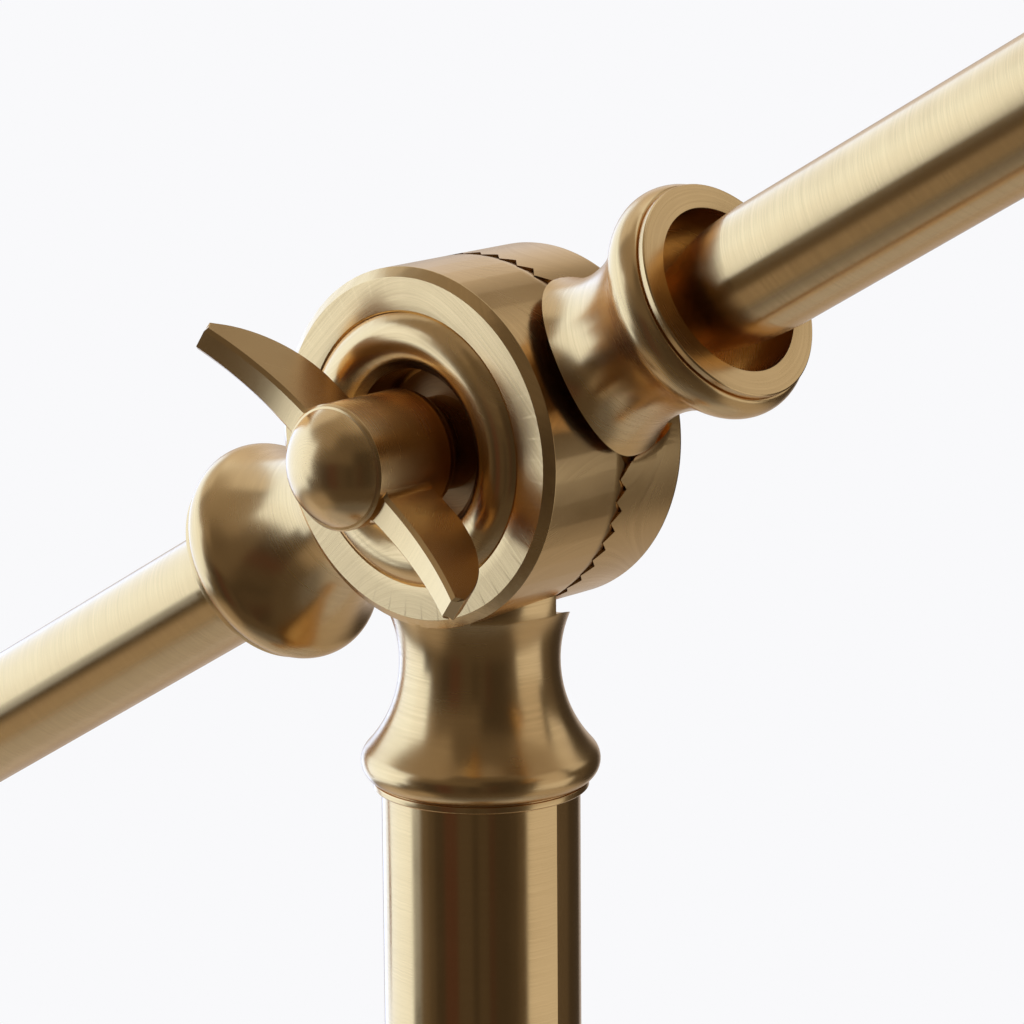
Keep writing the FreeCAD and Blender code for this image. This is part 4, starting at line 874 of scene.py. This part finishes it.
    def window(self, tree, around, height, left, right, low, high, soft):
        """Mask that is 1 inside a window of directions, which may pass 180, and fades at its edges."""
        offset = add_node(tree, "ShaderNodeMath", {0: around.outputs[0], 1: (left + right) / 2},
                          operation="SUBTRACT")
        wrapped = add_node(tree, "ShaderNodeMath", {0: offset.outputs[0], 1: 180.0, 2: -180.0},
                           operation="WRAP")
        away = add_node(tree, "ShaderNodeMath", {0: wrapped.outputs[0]}, operation="ABSOLUTE")
        mask = None
        for angle, edge, way in ((away, (right - left) / 2, -1), (height, low, 1), (height, high, -1)):
            step = add_node(tree, "ShaderNodeMapRange",
                            span(angle.outputs[0], edge - way * soft / 2, edge + way * soft / 2),
                            interpolation_type="SMOOTHSTEP")
            if mask is None:
                mask = step
            else:
                mask = add_node(tree, "ShaderNodeMath", {0: mask.outputs[0], 1: step.outputs[0]},
                                operation="MULTIPLY")
        return mask

    def glow(self, strength, redness=1.15):
        """Light of a panel: the brighter it is, the cooler, as daylight beside warm room light."""
        red, blue = redness / (1 + 0.33 * strength), 0.88 + 0.45 * strength
        return (strength * red, strength, strength * blue, 1)

    def floor(self, scene, size):
        """Pale floor that keeps the lamp's shadow, fades out at its rim and is clear from below. Seen in
        the metal, it carries painted shade, darker towards the camera side.
        """
        tree = new_material("pale_floor")
        place = add_node(tree, "ShaderNodeTexCoord")
        away = add_node(tree, "ShaderNodeVectorMath", {0: place.outputs["Object"]}, operation="LENGTH")
        fade = add_node(tree, "ShaderNodeMapRange", span(away.outputs["Value"], size.floor_radius * 0.5,
                                                         size.floor_radius * 0.98),
                        interpolation_type="SMOOTHSTEP")
        path = add_node(tree, "ShaderNodeLightPath")
        # Painted shade: for rays the metal reflects, the floor's colour darkens towards the camera side
        ahead = add_node(tree, "ShaderNodeVectorMath", {0: place.outputs["Object"], 1: FLOOR_SHADE_SIDE},
                         operation="DOT_PRODUCT")
        shade = add_node(tree, "ShaderNodeMapRange", span(ahead.outputs["Value"], 0.0,
                                                          size.floor_radius * 0.3, 0.0,
                                                          1 - size.backdrop_share))
        mirrored = add_node(tree, "ShaderNodeMath", {0: shade.outputs[0], 1: path.outputs["Is Glossy Ray"]},
                            operation="MULTIPLY")
        shown = add_node(tree, "ShaderNodeMix", {0: mirrored.outputs[0], 6: (*size.backdrop, 1),
                                                 7: (0, 0, 0, 1)}, data_type="RGBA")
        matt = add_node(tree, "ShaderNodeBsdfDiffuse", {"Color": shown.outputs[2]})
        lit = add_node(tree, "ShaderNodeEmission", {"Color": (*size.backdrop, 1), "Strength": 1.0})
        share = add_node(tree, "ShaderNodeMath", {0: path.outputs["Is Camera Ray"], 1: 0.75},
                         operation="MULTIPLY")
        both = add_node(tree, "ShaderNodeMixShader", {0: share.outputs[0], 1: matt.outputs[0],
                                                      2: lit.outputs[0]})
        clear = add_node(tree, "ShaderNodeBsdfTransparent")
        under = add_node(tree, "ShaderNodeNewGeometry")
        gone = add_node(tree, "ShaderNodeMath", {0: fade.outputs[0], 1: under.outputs["Backfacing"]},
                        operation="MAXIMUM")
        edge = add_node(tree, "ShaderNodeMixShader", {0: gone.outputs[0], 1: both.outputs[0],
                                                      2: clear.outputs[0]})
        add_node(tree, "ShaderNodeOutputMaterial", {0: edge.outputs[0]})
        radius = size.floor_radius / MM
        # Just under the pad, so that the two don't lie in one plane
        rows = [(r, -0.1, even_columns(96), 0) for r in (0.0, radius * 0.3, radius * 0.6, radius)]
        mesh = mesh_from_rows("floor", rows, Matrix.Identity(3), (0, 0, 0))
        mesh.flip_normals()
        mesh.materials.append(material("pale_floor"))
        floor = bpy.data.objects.new("floor", mesh)
        scene.collection.objects.link(floor)

    def camera(self, scene):
        """Camera where the photograph was taken, close to the clutch."""
        turn, tilt, roll = math.radians(41.217), math.radians(12.703), math.radians(-0.408)
        away, right_shift, up_shift = 342.955, 1.981, -6.343
        back = Vector((math.sin(turn) * math.cos(tilt), -math.cos(turn) * math.cos(tilt), math.sin(tilt)))
        level = Vector((math.cos(turn), math.sin(turn), 0))
        upright = back.cross(level)
        at = CLUTCH + level * right_shift + upright * up_shift + back * away
        right = level * math.cos(roll) + upright * math.sin(roll)
        up = back.cross(right)
        lens = bpy.data.cameras.new("camera")
        lens.sensor_width = 36.0
        lens.lens = 36.0 * 4338.994 / 1024
        lens.clip_start = 0.02
        lens.clip_end = 100.0
        camera = bpy.data.objects.new("camera", lens)
        scene.collection.objects.link(camera)
        camera.matrix_world = Matrix.Translation(at * MM) @ Matrix((right, up, back)).transposed().to_4x4()
        scene.camera = camera


OPERATORS = (LAMP_OT_finishes, LAMP_OT_clutch_front, LAMP_OT_clutch_rear, LAMP_OT_wing_screw,
             LAMP_OT_carried, LAMP_OT_stage)
GROUPS = {"lamp_finish": LampFinish, "lamp_clutch": LampClutch, "lamp_wing": LampWing,
          "lamp_stage": LampStage}


class LAMP_PT_pieces(Panel):
    bl_idname = "LAMP_PT_pieces"
    bl_label = "Reading floor lamp"
    bl_space_type = "VIEW_3D"
    bl_region_type = "UI"
    bl_category = "Lamp"

    def draw(self, context):
        for name, group in GROUPS.items():
            for prop in group.__annotations__:
                self.layout.prop(getattr(context.scene, name), prop)
        for operator in OPERATORS:
            self.layout.operator(operator.bl_idname)


def register():
    for group in GROUPS.values():
        bpy.utils.register_class(group)
    for operator in OPERATORS:
        bpy.utils.register_class(operator)
    bpy.utils.register_class(LAMP_PT_pieces)
    for name, group in GROUPS.items():
        setattr(bpy.types.Scene, name, PointerProperty(type=group))


def unregister():
    for name in GROUPS:
        delattr(bpy.types.Scene, name)
    bpy.utils.unregister_class(LAMP_PT_pieces)
    for operator in reversed(OPERATORS):
        bpy.utils.unregister_class(operator)
    for group in GROUPS.values():
        bpy.utils.unregister_class(group)


def main():
    register()
    bpy.ops.lamp.finishes()
    bpy.ops.lamp.clutch_front()
    bpy.ops.lamp.clutch_rear()
    bpy.ops.lamp.wing_screw()
    bpy.ops.lamp.carried()
    bpy.ops.lamp.stage()


if __name__ == "__main__":
    main()
